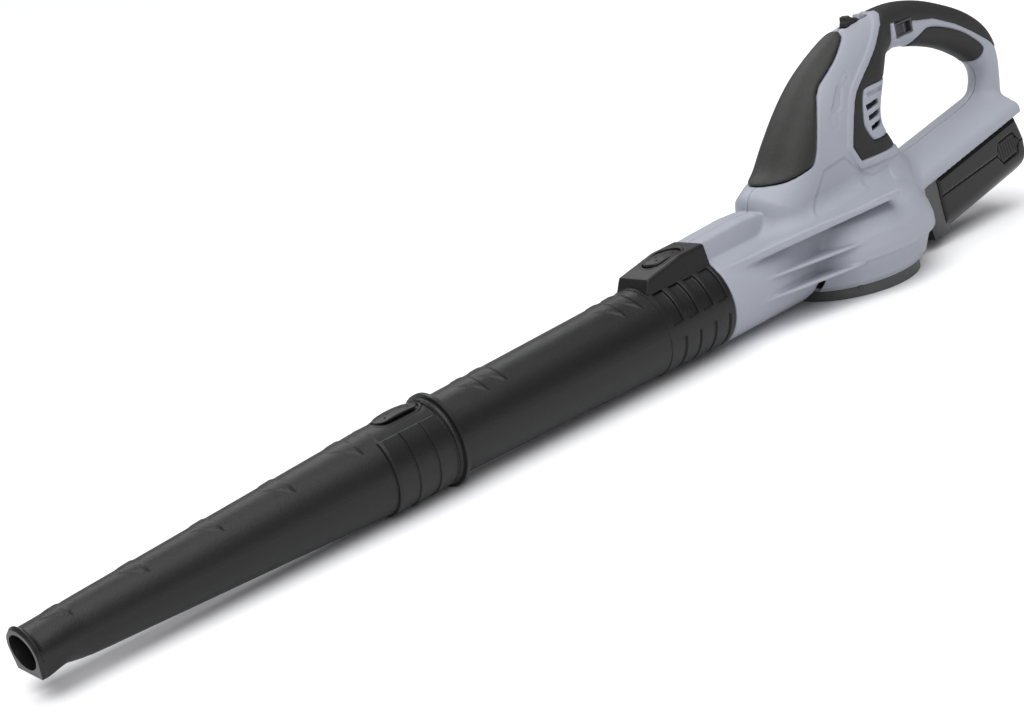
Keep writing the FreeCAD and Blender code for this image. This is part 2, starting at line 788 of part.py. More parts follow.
# the intake grille: a rim cut level with the floor, a ringed plate and bars
grille_top = dim.cover_base
grille_solid = place(turned("grille_rim", [
    (dim.grille_radius - dim.grille_rim_width, grille_top - 40),
    (dim.grille_radius, grille_top - 40),
    (dim.grille_radius, grille_top),
    (dim.grille_radius - dim.grille_rim_width, grille_top),
], "V_Axis"), x=fan_x)
grille_parts = [grille_solid]
GRILLE_RINGS = (10, 22, 34, 46)
for number, ring_radius in enumerate(GRILLE_RINGS):
    grille_parts.append(place(turned(f"grille_ring_{number}", [
        (ring_radius, grille_top - dim.grille_plate),
        (ring_radius + 3, grille_top - dim.grille_plate),
        (ring_radius + 3, grille_top),
        (ring_radius, grille_top),
    ], "V_Axis"), x=fan_x))
GRILLE_BARS = 6
for number in range(GRILLE_BARS):
    bar = doc.addObject("Part::Box", f"grille_bar_{number}")
    bind(bar, Length=2 * dim.grille_radius - 4, Width=3, Height=dim.grille_plate - 0.5)
    turn = Rotation(Z_AXIS, 180 * number / GRILLE_BARS)
    corner = Vector(-(dim.grille_radius - 2).value, -1.5, 0)
    middle = Vector(fan_x.value, 0, (grille_top - dim.grille_plate).value + 0.25)
    bar.Placement = FreeCAD.Placement(middle + turn.multVec(corner), turn)
    grille_parts.append(bar)
intake_grille = cut("intake_grille_shape", fuse("grille_all", *grille_parts), floor_block)
subpart("intake_grille", intake_grille)

partition = cylinder("partition_plate", dim.partition_radius, dim.partition_thickness,
                     fan_x, 0, partition_z)
posts = []
for number, angle in enumerate(post_angles):
    post_x, post_y = round_the_fan(angle, dim.cover_post_circle - 2)
    posts.append(cylinder(f"cover_post_{number}", dim.cover_post_radius,
                          partition_z - cover_floor, post_x, post_y, cover_floor))
motor_hole = cylinder("motor_hole", 8, 20, fan_x, 0, partition_z - 5)
motor_screw_holes = [cylinder(f"motor_screw_hole_{number}", dim.motor_screw_radius + 0.05, 20,
                              fan_x + side * dim.motor_screw_circle, 0, partition_z - 5)
                     for number, side in enumerate((-1, 1))]
fan_partition = cut("fan_partition_shape", fuse("partition_solid", partition, *posts),
                    motor_hole, *motor_screw_holes, *cover_holes)
subpart("fan_partition", fan_partition)


# ---------------------------------------------------------------- motor

motor_base = partition_z + dim.partition_thickness
motor_top = motor_base + dim.motor_length
bearing_hole = dim.bearing_radius
can = place(turned("motor_can_turn", [
    (bearing_hole, motor_base),
    (dim.motor_radius, motor_base),
    (dim.motor_radius, motor_top),
    (dim.motor_radius - dim.motor_wall, motor_top),
    (dim.motor_radius - dim.motor_wall, motor_base + dim.bearing_height),
    (bearing_hole, motor_base + dim.bearing_height),
], "V_Axis"), x=fan_x)
subpart("motor_can", cut("motor_can_shape", can, *motor_screw_holes))
bell = place(turned("end_bell_turn", [
    (bearing_hole, motor_top),
    (dim.motor_radius, motor_top),
    (dim.motor_radius - 3, motor_top + dim.bell_height),
    (bearing_hole, motor_top + dim.bell_height),
], "V_Axis"), x=fan_x)
subpart("motor_end_bell", bell)
for name, low in (("lower_bearing", motor_base), ("upper_bearing", motor_top)):
    subpart(name, place(turned(name + "_turn", [
        (dim.shaft_radius + dim.bearing_gap, low),
        (bearing_hole, low),
        (bearing_hole, low + dim.bearing_height),
        (dim.shaft_radius + dim.bearing_gap, low + dim.bearing_height),
    ], "V_Axis"), x=fan_x))
magnet_low = motor_base + dim.bearing_height + 4
magnet_ring = place(turned("magnet_ring", [
    (dim.rotor_radius + 0.6, magnet_low),
    (dim.motor_radius - dim.motor_wall, magnet_low),
    (dim.motor_radius - dim.motor_wall, magnet_low + dim.rotor_length),
    (dim.rotor_radius + 0.6, magnet_low + dim.rotor_length),
], "V_Axis"), x=fan_x)
subpart("motor_magnets", magnet_ring)

impeller_low = dim.impeller_top - dim.impeller_depth
shaft_low = impeller_low - dim.nut_height - 1
shaft = cylinder("shaft_rod", dim.shaft_radius, motor_top + dim.bell_height - 1 - shaft_low,
                 fan_x, 0, shaft_low)
subpart("motor_shaft", shaft)
rotor_stack = place(turned("rotor_turn", [
    (dim.shaft_radius, magnet_low),
    (dim.rotor_radius, magnet_low),
    (dim.rotor_radius, magnet_low + dim.rotor_length),
    (9, magnet_low + dim.rotor_length),
    (9, motor_top - 1),
    (dim.shaft_radius, motor_top - 1),
], "V_Axis"), x=fan_x)
subpart("motor_rotor", rotor_stack)
motor_screws = []
for number, side in enumerate((-1, 1)):
    screw_x = fan_x + side * dim.motor_screw_circle
    motor_screws.append(fuse(
        f"motor_screw_{number}",
        cylinder(f"motor_shank_{number}", dim.motor_screw_radius,
                 dim.partition_thickness + dim.bearing_height, screw_x, 0, partition_z),
        cylinder(f"motor_head_{number}", 2.6, 1.8, screw_x, 0, partition_z - 1.8)))
subpart("motor_screws", *motor_screws)


# ---------------------------------------------------------------- impeller

BLADES = 11
hub = place(turned("impeller_hub", [
    (dim.shaft_radius, impeller_low),
    (dim.impeller_hub_radius, impeller_low),
    (dim.impeller_hub_radius, dim.impeller_top - dim.impeller_plate),
    (dim.impeller_radius, dim.impeller_top - dim.impeller_plate),
    (dim.impeller_radius, dim.impeller_top),
    (dim.shaft_radius, dim.impeller_top),
], "V_Axis"), x=fan_x)
blade_reach = dim.impeller_radius - dim.impeller_hub_radius
blades = []
for number in range(BLADES):
    blade = doc.addObject("Part::Box", f"impeller_blade_{number}")
    bind(blade, Length=blade_reach * 1.06, Width=dim.blade_thickness,
         Height=dim.impeller_depth - 1)
    outward = Rotation(Z_AXIS, 360 * number / BLADES)
    swept = Rotation(Z_AXIS, 360 * number / BLADES + SIZES["blade_sweep"])
    root = outward.multVec(Vector(SIZES["impeller_hub_radius"] - 1.5, 0, 0))
    middle = Vector(fan_x.value, 0, impeller_low.value)
    blade.Placement = FreeCAD.Placement(middle + root, swept)
    blades.append(blade)
impeller_room = cylinder("impeller_room", dim.impeller_radius, dim.impeller_depth, fan_x, 0,
                         impeller_low)
eye_room = cylinder("impeller_eye", dim.impeller_radius * 0.5, dim.impeller_depth * 0.5,
                    fan_x, 0, impeller_low)
trimmed_blades = cut("blades_with_eye",
                     common("blades_trimmed", fuse("blades_all", *blades), impeller_room),
                     eye_room)
shaft_hole = cylinder("impeller_shaft_hole", dim.shaft_radius, 60, fan_x, 0, shaft_low)
subpart("impeller", cut("impeller_shape", fuse("impeller_solid", hub, trimmed_blades),
                        shaft_hole))
nut = cut("impeller_nut_shape",
          cylinder("nut_outside", dim.nut_radius, dim.nut_height, fan_x, 0,
                   impeller_low - dim.nut_height),
          shaft_hole)
subpart("impeller_nut", nut)


# ---------------------------------------------------------------- speed lever and switch

lever_y = dim.lever_width / 2
drum = cylinder("lever_drum", dim.lever_radius, dim.lever_width, dim.lever_x, lever_y,
                dim.lever_height, -Y_AXIS)
tab = centred_block("lever_tab", dim.lever_x - 4, lever_y, dim.lever_height + 6,
                    dim.lever_tab_length * 0.6, dim.lever_tab_height - 6)
lever_pin = cylinder("lever_pin", dim.lever_pin_radius, dim.lever_width + dim.pot_length,
                     dim.lever_x, -lever_y, dim.lever_height, Y_AXIS)
subpart("speed_lever", fuse("speed_lever_shape", drum, tab, lever_pin))
pot_y = lever_y + 1
speed_sensor = cut("speed_sensor_shape",
                   cylinder("pot_case", dim.pot_radius, dim.pot_length, dim.lever_x, pot_y,
                            dim.lever_height, Y_AXIS),
                   cylinder("pot_bore", dim.lever_pin_radius + dim.running_gap,
                            dim.pot_length - 0.8, dim.lever_x, pot_y, dim.lever_height,
                            Y_AXIS))
subpart("speed_sensor", speed_sensor)

switch_gap = 0.1
switch_case = block("switch_case",
                    (dim.switch_x - dim.switch_length / 2 + switch_gap, -dim.switch_face,
                     dim.switch_height - dim.switch_width / 2 + switch_gap),
                    (dim.switch_length - 2 * switch_gap, dim.switch_depth - switch_gap,
                     dim.switch_width - 2 * switch_gap))
rocker_well = block("rocker_well",
                    (dim.switch_x - dim.rocker_length / 2 - dim.part_gap, -dim.switch_face - 1,
                     dim.switch_height - dim.rocker_width / 2 - dim.part_gap),
                    (dim.rocker_length + 2 * dim.part_gap, 9.0,
                     dim.rocker_width + 2 * dim.part_gap))
subpart("switch_body", cut("switch_body_shape", switch_case, rocker_well))
rocker_axis_y = -(dim.switch_face - 1.6)
rocker, rocker_sketch = outline_body("rocker_cap", [
    (-dim.rocker_length / 2 + 0.6, 0.4),
    (-1.5, -1.2),
    (1.5, -1.2),
    (dim.rocker_length / 2 - 0.6, 0.4),
    (2.5, dim.rocker_depth),
    (-2.5, dim.rocker_depth),
], "XY_Plane")
rocker_pad = rocker.newObject("PartDesign::Pad", "rocker_pad")
rocker_pad.Profile = rocker_sketch
rocker_pad.Midplane = True
bind(rocker_pad, Length=dim.rocker_width)
place(rocker, dim.switch_x, rocker_axis_y, dim.switch_height,
      Rotation(Z_AXIS, SIZES["rocker_angle"]))
rocker_pin = cylinder("rocker_pin", dim.rocker_pin_radius, dim.rocker_width, dim.switch_x,
                      rocker_axis_y, dim.switch_height - dim.rocker_width / 2)
subpart("rocker", fuse("rocker_shape", rocker, rocker_pin))


# ---------------------------------------------------------------- battery dock

channel_length = dim.arm_rear - dim.battery_front + 1
dock_block = battery_block("dock_block", dim.battery_front - 0.5,
                           dim.channel_half_width + dim.dock_wall - 0.2, 0.5,
                           channel_length - 3, dim.channel_height + dim.dock_wall - 0.8)
head_room = battery_block("dock_head_room", dim.battery_front + 6, dim.channel_half_width,
                          dim.channel_lip, channel_length + 40,
                          dim.channel_height - dim.channel_lip)
neck_room = battery_block("dock_neck_room", dim.battery_front + 6, dim.channel_neck, -5,
                          channel_length + 40, dim.channel_lip + 6)
subpart("battery_dock", cut("battery_dock_shape", dock_block, head_room, neck_room))

socket_block = battery_block("socket_block", dim.battery_front - dim.part_gap - dim.socket_length,
                             dim.socket_half_width, -dim.socket_depth, dim.socket_length,
                             dim.socket_depth - 0.3)
socket_hollow = battery_block("socket_hollow", dim.battery_front - dim.part_gap - 9,
                              dim.socket_half_width - dim.battery_wall,
                              -dim.socket_depth + dim.battery_wall, 10,
                              dim.socket_depth - 2 * dim.battery_wall)
cover_room = cylinder("fan_cover_room", dim.cover_top_radius + 0.5, 200, fan_x, 0, -190)
dome_room = cylinder("fan_dome_room", dim.dome_radius + 0.5, 60, fan_x, 0, dim.dome_base - 0.5)
floor_clearance = doc.addObject("Part::Box", "floor_clearance")
bind(floor_clearance, Length=FLOOR_REACH, Width=FLOOR_REACH, Height=FLOOR_REACH)
floor_clearance.Placement = floor_block.Placement
floor_clearance.Placement.Base = floor_block.Placement.Base + Vector(0, 0, SIZES["floor_gap"])
subpart("battery_socket_front", cut("battery_socket_shape", socket_block, socket_hollow,
                                    cover_room, dome_room, floor_clearance))
BLADE_SPACING = 13
terminals = [battery_block(f"terminal_{number}", dim.battery_front + 6, 0.4, 4.0, 13, 4.0)
             for number in range(3)]
for number, terminal in enumerate(terminals):
    offset = battery_turn.multVec(Vector(0, BLADE_SPACING * (number - 1), 0))
    terminal.Placement.Base = terminal.Placement.Base + offset
subpart("battery_terminals", *terminals)


# ---------------------------------------------------------------- battery pack

pack_x = dim.battery_front
pack_low = -dim.battery_height
case_wall = dim.battery_wall
seam = -dim.battery_split


def rounded_case(label, inset, radius):
    """The pack's outside, drawn in by an inset, with its lower edges rounded."""
    brick = battery_block(label + "_brick", pack_x + inset, dim.battery_half_width - inset,
                          pack_low + inset, dim.battery_length - 2 * inset,
                          dim.battery_height - dim.part_gap - 2 * inset)
    doc.recompute()
    rounded = doc.addObject("Part::Fillet", label)
    rounded.Base = brick
    lower_edges = []
    into_frame = battery_frame.inverse()
    for number, edge in enumerate(brick.Shape.Edges, start=1):
        middle = into_frame.multVec(edge.CenterOfMass)
        if middle.z < (pack_low + inset).value + 1 and abs(middle.y) > 5:
            lower_edges.append((number, radius.value, radius.value))
    rounded.Edges = lower_edges
    return rounded


case_outside = rounded_case("battery_outside", as_size(0), dim.battery_corner)
case_inside = rounded_case("battery_inside", case_wall, dim.battery_corner - case_wall)
case_walls = cut("battery_walls", case_outside, case_inside)
upper_room = battery_block("battery_upper_room", -100, 100, seam, 400, 60)
lower_room = battery_block("battery_lower_room", -100, 100, -100, 400, 100 - dim.battery_split)
head_gap = 0.3
tower_neck = battery_block("battery_neck", pack_x + 7, dim.channel_neck - head_gap,
                           -case_wall, dim.battery_length - 12, case_wall + dim.channel_lip + 1)
tower_head = battery_block("battery_head", pack_x + 7, dim.channel_half_width - head_gap,
                           dim.channel_lip + head_gap, dim.battery_length - 12,
                           dim.channel_height - dim.channel_lip - 2 * head_gap)
tower_hollow = battery_block("battery_tower_hollow", pack_x + 9, dim.channel_neck - 3,
                             -case_wall - 1, dim.battery_length - 16,
                             case_wall + dim.channel_height - 2)
contact_room = [battery_block(f"contact_room_{number}", pack_x + 4, 1.4, 2.0, 18, 8)
                for number in range(3)]
for number, room in enumerate(contact_room):
    room.Placement.Base = room.Placement.Base + Vector(0, BLADE_SPACING * (number - 1), 0)
button_x = pack_x + dim.battery_length - dim.battery_button_length - 12
button_low = seam + 1
button_rooms = []
for side in (-1, 1):
    room = battery_block(f"battery_button_room_{side}", button_x - dim.part_gap,
                         dim.battery_button_depth / 2 + 1,
                         button_low - dim.part_gap,
                         dim.battery_button_length + 2 * dim.part_gap,
                         dim.battery_button_width - 4 + 2 * dim.part_gap)
    room.Placement.Base = room.Placement.Base + Vector(0, side * dim.battery_half_width.value, 0)
    button_rooms.append(room)
upper_walls = fuse("battery_upper_solid", common("battery_upper_walls", case_walls, upper_room),
                   tower_neck, tower_head)
subpart("battery_upper_case", cut("battery_upper_shape", upper_walls, tower_hollow,
                                  *contact_room, *button_rooms))
subpart("battery_lower_case", common("battery_lower_shape", case_walls, lower_room))

CELLS_ACROSS = 3
cells = []
cell_pitch = 2 * dim.cell_radius + 0.6
for row_number in range(2):
    for number in range(CELLS_ACROSS):
        if row_number == 1 and number == 1:
            continue
        cells.append((row_number, number))
cell_rods = []
for index, (row_number, number) in enumerate(cells):
    rod = doc.addObject("Part::Cylinder", f"cell_{index}")
    bind(rod, Radius=dim.cell_radius, Height=dim.cell_length)
    across = (number - 1) * cell_pitch.value
    up = (pack_low + case_wall + 1 + dim.cell_radius).value + row_number * cell_pitch.value
    start = Vector((pack_x + 30).value, across, up)
    rod.Placement = battery_frame.multiply(
        FreeCAD.Placement(start, Rotation(Z_AXIS, X_AXIS)))
    cell_rods.append(rod)
subpart("battery_cells", *cell_rods)
board = battery_block("battery_board_plate", pack_x + 25, 20, -case_wall - 3, 80, 1.6)
subpart("battery_board", board)
contacts = []
for number in range(3):
    for side in (-1, 1):
        clip = battery_block(f"contact_{number}_{side}", pack_x + 13, 0.25, 2.4, 8, 4)
        shift = BLADE_SPACING * (number - 1) + side * 0.9
        clip.Placement.Base = clip.Placement.Base + Vector(0, shift, 0)
        contacts.append(clip)
subpart("battery_contacts", *contacts)

for name, side in (("battery_button_left", -1), ("battery_button_right", 1)):
    cap = battery_block(name + "_cap", button_x, dim.battery_button_depth / 2, button_low,
                        dim.battery_button_length, dim.battery_button_width - 4)
    shift = side * (dim.battery_half_width - dim.battery_button_depth / 2).value
    cap.Placement.Base = cap.Placement.Base + Vector(0, shift, 0)
    subpart(name, cap)


# ---------------------------------------------------------------- electrics

board_plate = centred_block("control_board_plate", 440, 0.8, 88, 44, 30)
subpart("control_board", board_plate)
capacitor = cylinder("capacitor", 5, 14, 452, 6, 92)
power_switch = block("power_transistor", (466, 0.8, 95), (10, 4, 14))
subpart("board_parts", capacitor, power_switch)

# the wiring keeps to the inner side of the handle, clear of the screw bosses
HARNESS = [(598, 41.5), (614, 44.5), (635.5, 48), (637, 69), (622, 97), (602, 110),
           (585, 121), (562, 129), (538, 133.5)]
HARNESS_RADIUS = 2.0
HARNESS_BEND = 8.0


def rounded_path(points, bend):
    """Straight runs in the parting plane joined by tangent arcs."""
    corners = [Vector(x, 4, z) for x, z in points]
    edges = []
    start = corners[0]
    for before, corner, after in zip(corners, corners[1:], corners[2:]):
        incoming = (corner - before).normalize()
        outgoing = (after - corner).normalize()
        turn = incoming.getAngle(outgoing)
        setback = bend * math.tan(turn / 2)
        into = corner - incoming * setback
        out = corner + outgoing * setback
        bisector = (outgoing - incoming).normalize()
        centre = corner + bisector * (bend / math.cos(turn / 2))
        edges.append(Part.LineSegment(start, into).toShape())
        edges.append(Part.Arc(into, centre - bisector * bend, out).toShape())
        start = out
    edges.append(Part.LineSegment(start, corners[-1]).toShape())
    return Part.Wire(edges)


path = rounded_path(HARNESS, HARNESS_BEND)
first = path.Edges[0]
start_point = first.valueAt(first.FirstParameter)
section = Part.Wire(Part.makeCircle(HARNESS_RADIUS, start_point,
                                    first.tangentAt(first.FirstParameter)))
harness = doc.addObject("Part::Feature", "wiring_bundle")
harness.Shape = path.makePipeShell([section], True, False)
subpart("wiring_harness", harness)


# ---------------------------------------------------------------- stand it up, check, write

doc.recompute()


def complain(item, words):
    raise RuntimeError(f"{item.Label}: {words}")


for item in doc.Objects:
    if "Invalid" in item.State or "Error" in item.State:
        complain(item, "failed to rebuild")
for node in SUBPARTS:
    if node.Shape.isNull() or not node.Shape.isValid() or not node.Shape.Solids:
        complain(node, "has no valid solid")

rest_turn = FreeCAD.Placement(Vector(), Rotation(Y_AXIS, -SIZES["rest_tilt"]))
whole = FreeCAD.BoundBox()
for node in SUBPARTS:
    node.Placement = rest_turn
    whole.add(node.Shape.optimalBoundingBox(False, False))
stand = FreeCAD.Placement(Vector(-whole.Center.x, -whole.Center.y, -whole.ZMin), Rotation())
for node in SUBPARTS:
    node.Placement = stand.multiply(rest_turn)

print("origin shift", round(-whole.Center.x, 3), round(-whole.Center.y, 3),
      round(-whole.ZMin, 3))
print("overall size", round(whole.XLength, 1), round(whole.YLength, 1), round(whole.ZLength, 1))
os.makedirs("parts", exist_ok=True)
for node in SUBPARTS:
    node.Shape.exportStep(f"parts/{node.Label}.step")
print(len(SUBPARTS), "sub-parts written")
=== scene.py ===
"""Looks of the cordless leaf blower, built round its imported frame.

Places are in millimetres on the tool's own axes: X back along the air tube from
the nozzle joint, Y across, Z up, with the user's left side at negative Y.
"""
import json
import math

import bmesh
import bpy
import numpy as np
import openvdb
from mathutils import Matrix, Vector


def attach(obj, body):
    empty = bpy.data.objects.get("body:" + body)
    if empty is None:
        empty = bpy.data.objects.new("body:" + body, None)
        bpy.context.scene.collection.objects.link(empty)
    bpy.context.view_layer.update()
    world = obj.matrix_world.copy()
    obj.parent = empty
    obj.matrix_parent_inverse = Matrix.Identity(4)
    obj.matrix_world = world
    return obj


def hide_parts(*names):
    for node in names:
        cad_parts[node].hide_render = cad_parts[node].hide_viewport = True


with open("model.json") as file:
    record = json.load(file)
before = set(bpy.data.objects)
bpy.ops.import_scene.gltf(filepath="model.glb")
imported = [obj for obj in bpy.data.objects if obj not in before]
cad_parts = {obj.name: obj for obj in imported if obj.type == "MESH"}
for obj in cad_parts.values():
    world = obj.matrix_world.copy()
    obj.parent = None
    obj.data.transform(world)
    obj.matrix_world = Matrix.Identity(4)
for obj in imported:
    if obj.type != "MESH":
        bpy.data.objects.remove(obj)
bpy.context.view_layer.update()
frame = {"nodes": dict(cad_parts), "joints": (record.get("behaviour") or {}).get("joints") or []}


# ---------------------------------------------------------------- the tool's own axes
# The blower lies a little nose down, so its axes are turned from the frame's.
# The slide of the tube gives the X axis, the fan's shaft gives Z and the place.

joints = {joint["name"]: joint for joint in frame["joints"]}
TUBE_AXIS = -np.array(joints["tube_slide"]["axis"], float)
SHAFT_AXIS = np.array(joints["fan_spin"]["axis"], float)
SIDE_AXIS = np.array((0.0, 1.0, 0.0))
FAN_X = 432.0
TOOL_ORIGIN = np.array(joints["fan_spin"]["pos_m"], float) - TUBE_AXIS * FAN_X / 1000
TOOL_TURN = np.array((TUBE_AXIS, SIDE_AXIS, SHAFT_AXIS))


def in_frame(points):
    """Millimetres on the tool's axes as metres in the frame."""
    return TOOL_ORIGIN + (np.asarray(points, float) / 1000) @ TOOL_TURN


# ---------------------------------------------------------------- inner works
# Motor, fan, bearings, board, wiring and cells sit inside and are plain stock
# parts: pressed steel, glass-filled nylon, brass and shrink wrap. They keep
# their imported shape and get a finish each.

# Nearly every piece is injection moulded. One group gives the spark-eroded grain,
# the cloudy shade of the melt and the paler rubbed edges of such a skin.
CLOUD_SCALE, SCUFF_SCALE = 22.0, 140.0
EDGE_START, EDGE_FULL = 0.53, 0.62
RUBBED_GREY = (0.62, 0.62, 0.62, 1)
GRAIN_HEIGHT = 0.0004


def moulded_skin_group():
    """The shader group behind every moulded finish."""
    tree = bpy.data.node_groups.new("moulded_skin", "ShaderNodeTree")
    for name, kind in (("Colour", "NodeSocketColor"), ("Cloud", "NodeSocketFloat"),
                       ("Roughness", "NodeSocketFloat"), ("Uneven Gloss", "NodeSocketFloat"),
                       ("Grain Scale", "NodeSocketFloat"), ("Edge Wear", "NodeSocketFloat")):
        tree.interface.new_socket(name, in_out="INPUT", socket_type=kind)
    for name, kind in (("Colour", "NodeSocketColor"), ("Roughness", "NodeSocketFloat"),
                       ("Height", "NodeSocketFloat")):
        tree.interface.new_socket(name, in_out="OUTPUT", socket_type=kind)
    nodes, links = tree.nodes, tree.links
    given = nodes.new("NodeGroupInput")
    result = nodes.new("NodeGroupOutput")
    place = nodes.new("ShaderNodeTexCoord").outputs["Object"]

    def noise(scale, detail):
        texture = nodes.new("ShaderNodeTexNoise")
        texture.inputs["Detail"].default_value = detail
        links.new(place, texture.inputs["Vector"])
        if isinstance(scale, bpy.types.NodeSocket):
            links.new(scale, texture.inputs["Scale"])
        else:
            texture.inputs["Scale"].default_value = scale
        return texture.outputs["Fac"]

    def math_node(kind, first, second):
        node = nodes.new("ShaderNodeMath")
        node.operation = kind
        for socket, value in zip(node.inputs, (first, second)):
            if isinstance(value, bpy.types.NodeSocket):
                links.new(value, socket)
            else:
                socket.default_value = value
        return node.outputs[0]

    clouds = math_node("SUBTRACT", noise(CLOUD_SCALE, 4.0), 0.5)
    shade = math_node("ADD", math_node("MULTIPLY", clouds, given.outputs["Cloud"]), 1.0)
    tint = nodes.new("ShaderNodeHueSaturation")
    links.new(given.outputs["Colour"], tint.inputs["Color"])
    links.new(shade, tint.inputs["Value"])
    edge = nodes.new("ShaderNodeMapRange")
    edge.inputs["From Min"].default_value = EDGE_START
    edge.inputs["From Max"].default_value = EDGE_FULL
    links.new(nodes.new("ShaderNodeNewGeometry").outputs["Pointiness"], edge.inputs["Value"])
    rubbed = math_node("MULTIPLY", edge.outputs["Result"], given.outputs["Edge Wear"])
    worn = nodes.new("ShaderNodeMix")
    worn.data_type = "RGBA"
    worn.inputs["B"].default_value = RUBBED_GREY
    links.new(rubbed, worn.inputs["Factor"])
    links.new(tint.outputs["Color"], worn.inputs["A"])
    links.new(worn.outputs["Result"], result.inputs["Colour"])
    scuffs = math_node("SUBTRACT", noise(SCUFF_SCALE, 2.0), 0.5)
    spread = math_node("MULTIPLY", scuffs, given.outputs["Uneven Gloss"])
    links.new(math_node("ADD", spread, given.outputs["Roughness"]), result.inputs["Roughness"])
    links.new(noise(given.outputs["Grain Scale"], 1.5), result.inputs["Height"])
    return tree


moulded_skin = moulded_skin_group()


def moulded(name, colour, roughness, grain_scale, grain_depth, cloud=0.10, uneven=0.12,
            wear=0.05, shine=0.32):
    """A moulded plastic or rubber with its own colour, gloss and grain."""
    material = bpy.data.materials.new(name)
    material.use_nodes = True
    nodes, links = material.node_tree.nodes, material.node_tree.links
    shader = nodes["Principled BSDF"]
    shader.inputs["Specular IOR Level"].default_value = shine
    skin = nodes.new("ShaderNodeGroup")
    skin.node_tree = moulded_skin
    skin.inputs["Colour"].default_value = (*colour, 1)
    skin.inputs["Cloud"].default_value = cloud
    skin.inputs["Roughness"].default_value = roughness
    skin.inputs["Uneven Gloss"].default_value = uneven
    skin.inputs["Grain Scale"].default_value = grain_scale
    skin.inputs["Edge Wear"].default_value = wear
    bump = nodes.new("ShaderNodeBump")
    bump.inputs["Strength"].default_value = grain_depth
    bump.inputs["Distance"].default_value = GRAIN_HEIGHT
    links.new(skin.outputs["Colour"], shader.inputs["Base Color"])
    links.new(skin.outputs["Roughness"], shader.inputs["Roughness"])
    links.new(skin.outputs["Height"], bump.inputs["Height"])
    links.new(bump.outputs["Normal"], shader.inputs["Normal"])
    return material


STREAK_DENSITY, STREAK_SHADE = 60.0, 0.75


def metal(name, colour, roughness, streak_scale):
    """Brushed or turned metal: fine streaks in its gloss and its shade."""
    material = bpy.data.materials.new(name)
    material.use_nodes = True
    nodes, links = material.node_tree.nodes, material.node_tree.links
    shader = nodes["Principled BSDF"]
    shader.inputs["Metallic"].default_value = 1.0
    stretch = nodes.new("ShaderNodeMapping")
    stretch.inputs["Scale"].default_value = (1, 1, streak_scale)
    streaks = nodes.new("ShaderNodeTexNoise")
    streaks.inputs["Scale"].default_value = STREAK_DENSITY
    gloss = nodes.new("ShaderNodeMapRange")
    gloss.inputs["To Min"].default_value = roughness - 0.08
    gloss.inputs["To Max"].default_value = roughness + 0.12
    shade = nodes.new("ShaderNodeMix")
    shade.data_type = "RGBA"
    shade.inputs["A"].default_value = (*[STREAK_SHADE * part for part in colour], 1)
    shade.inputs["B"].default_value = (*colour, 1)
    links.new(nodes.new("ShaderNodeTexCoord").outputs["Object"], stretch.inputs["Vector"])
    links.new(stretch.outputs["Vector"], streaks.inputs["Vector"])
    links.new(streaks.outputs["Fac"], gloss.inputs["Value"])
    links.new(streaks.outputs["Fac"], shade.inputs["Factor"])
    links.new(gloss.outputs["Result"], shader.inputs["Roughness"])
    links.new(shade.outputs["Result"], shader.inputs["Base Color"])
    return material


def finish_nodes(material, *names):
    """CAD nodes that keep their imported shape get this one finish."""
    for name in names:
        slots = frame["nodes"][name].data.materials
        slots.clear()
        slots.append(material)


finish_nodes(metal("zinc_plate", (0.62, 0.62, 0.64), 0.30, 8.0), "motor_screws",
             "motor_shaft", "impeller_nut", "lower_bearing", "upper_bearing",
             "tube_button_spring")
finish_nodes(metal("black_oxide", (0.10, 0.10, 0.105), 0.36, 6.0), "case_screws",
             "cover_screws")
finish_nodes(metal("motor_steel", (0.45, 0.45, 0.47), 0.38, 20.0),
             "motor_can", "motor_rotor", "motor_magnets")
finish_nodes(metal("brass", (0.78, 0.58, 0.27), 0.28, 12.0), "battery_terminals",
             "battery_contacts")
finish_nodes(moulded("filled_nylon", (0.035, 0.035, 0.038), 0.55, 900, 0.5),
             "motor_end_bell", "fan_partition", "impeller", "speed_sensor", "outlet_sleeve",
             "battery_dock", "switch_body")
finish_nodes(moulded("seal_rubber", (0.012, 0.012, 0.012), 0.75, 500, 0.4), "tube_seal")
finish_nodes(moulded("board_green", (0.02, 0.14, 0.06), 0.35, 300, 0.3, cloud=0.4),
             "control_board", "board_parts", "battery_board")
finish_nodes(moulded("cell_wrap", (0.05, 0.20, 0.48), 0.30, 200, 0.1), "battery_cells")
finish_nodes(moulded("wire_sleeve", (0.32, 0.02, 0.02), 0.45, 300, 0.2), "wiring_harness")


# ---------------------------------------------------------------- housing shells
# Two grey injection-moulded half shells hold everything. Their outside is a
# round duct that runs into a shallow fan bowl, a tall column over the motor, a
# loop handle and the arm over the battery, all flowing into each other.

# The flowing skin is worked out as a field: every point of a fine lattice holds
# its distance to the surface, in millimetres and negative inside. Rounded joins,
# recesses and seams are then sums on those distances.

HOUSING_STEP = 1.1
FIELD_REACH = 3
FAR_AWAY = 1e6


class Lattice:
    """Points from one corner to another, as three arrays that broadcast."""

    def __init__(self, low, high, step=HOUSING_STEP):
        self.low = np.array(low, float)
        self.step = step
        counts = np.ceil((np.array(high, float) - self.low) / step).astype(int) + 1
        lines = [low[axis] + step * np.arange(counts[axis], dtype=np.float32)
                 for axis in range(3)]
        self.x = lines[0].astype(np.float32)[:, None, None]
        self.y = lines[1].astype(np.float32)[None, :, None]
        self.z = lines[2].astype(np.float32)[None, None, :]


def rounded_max(first, second, radius):
    """Where two solids meet, or one is cut by another, with a rounded edge."""
    over = np.maximum(radius + first, 0)
    under = np.maximum(radius + second, 0)
    return np.minimum(-radius, np.maximum(first, second)) + np.hypot(over, under)


def rounded_min(first, second, radius):
    """Two solids joined, with a hollow fillet between them."""
    return -rounded_max(-first, -second, radius)


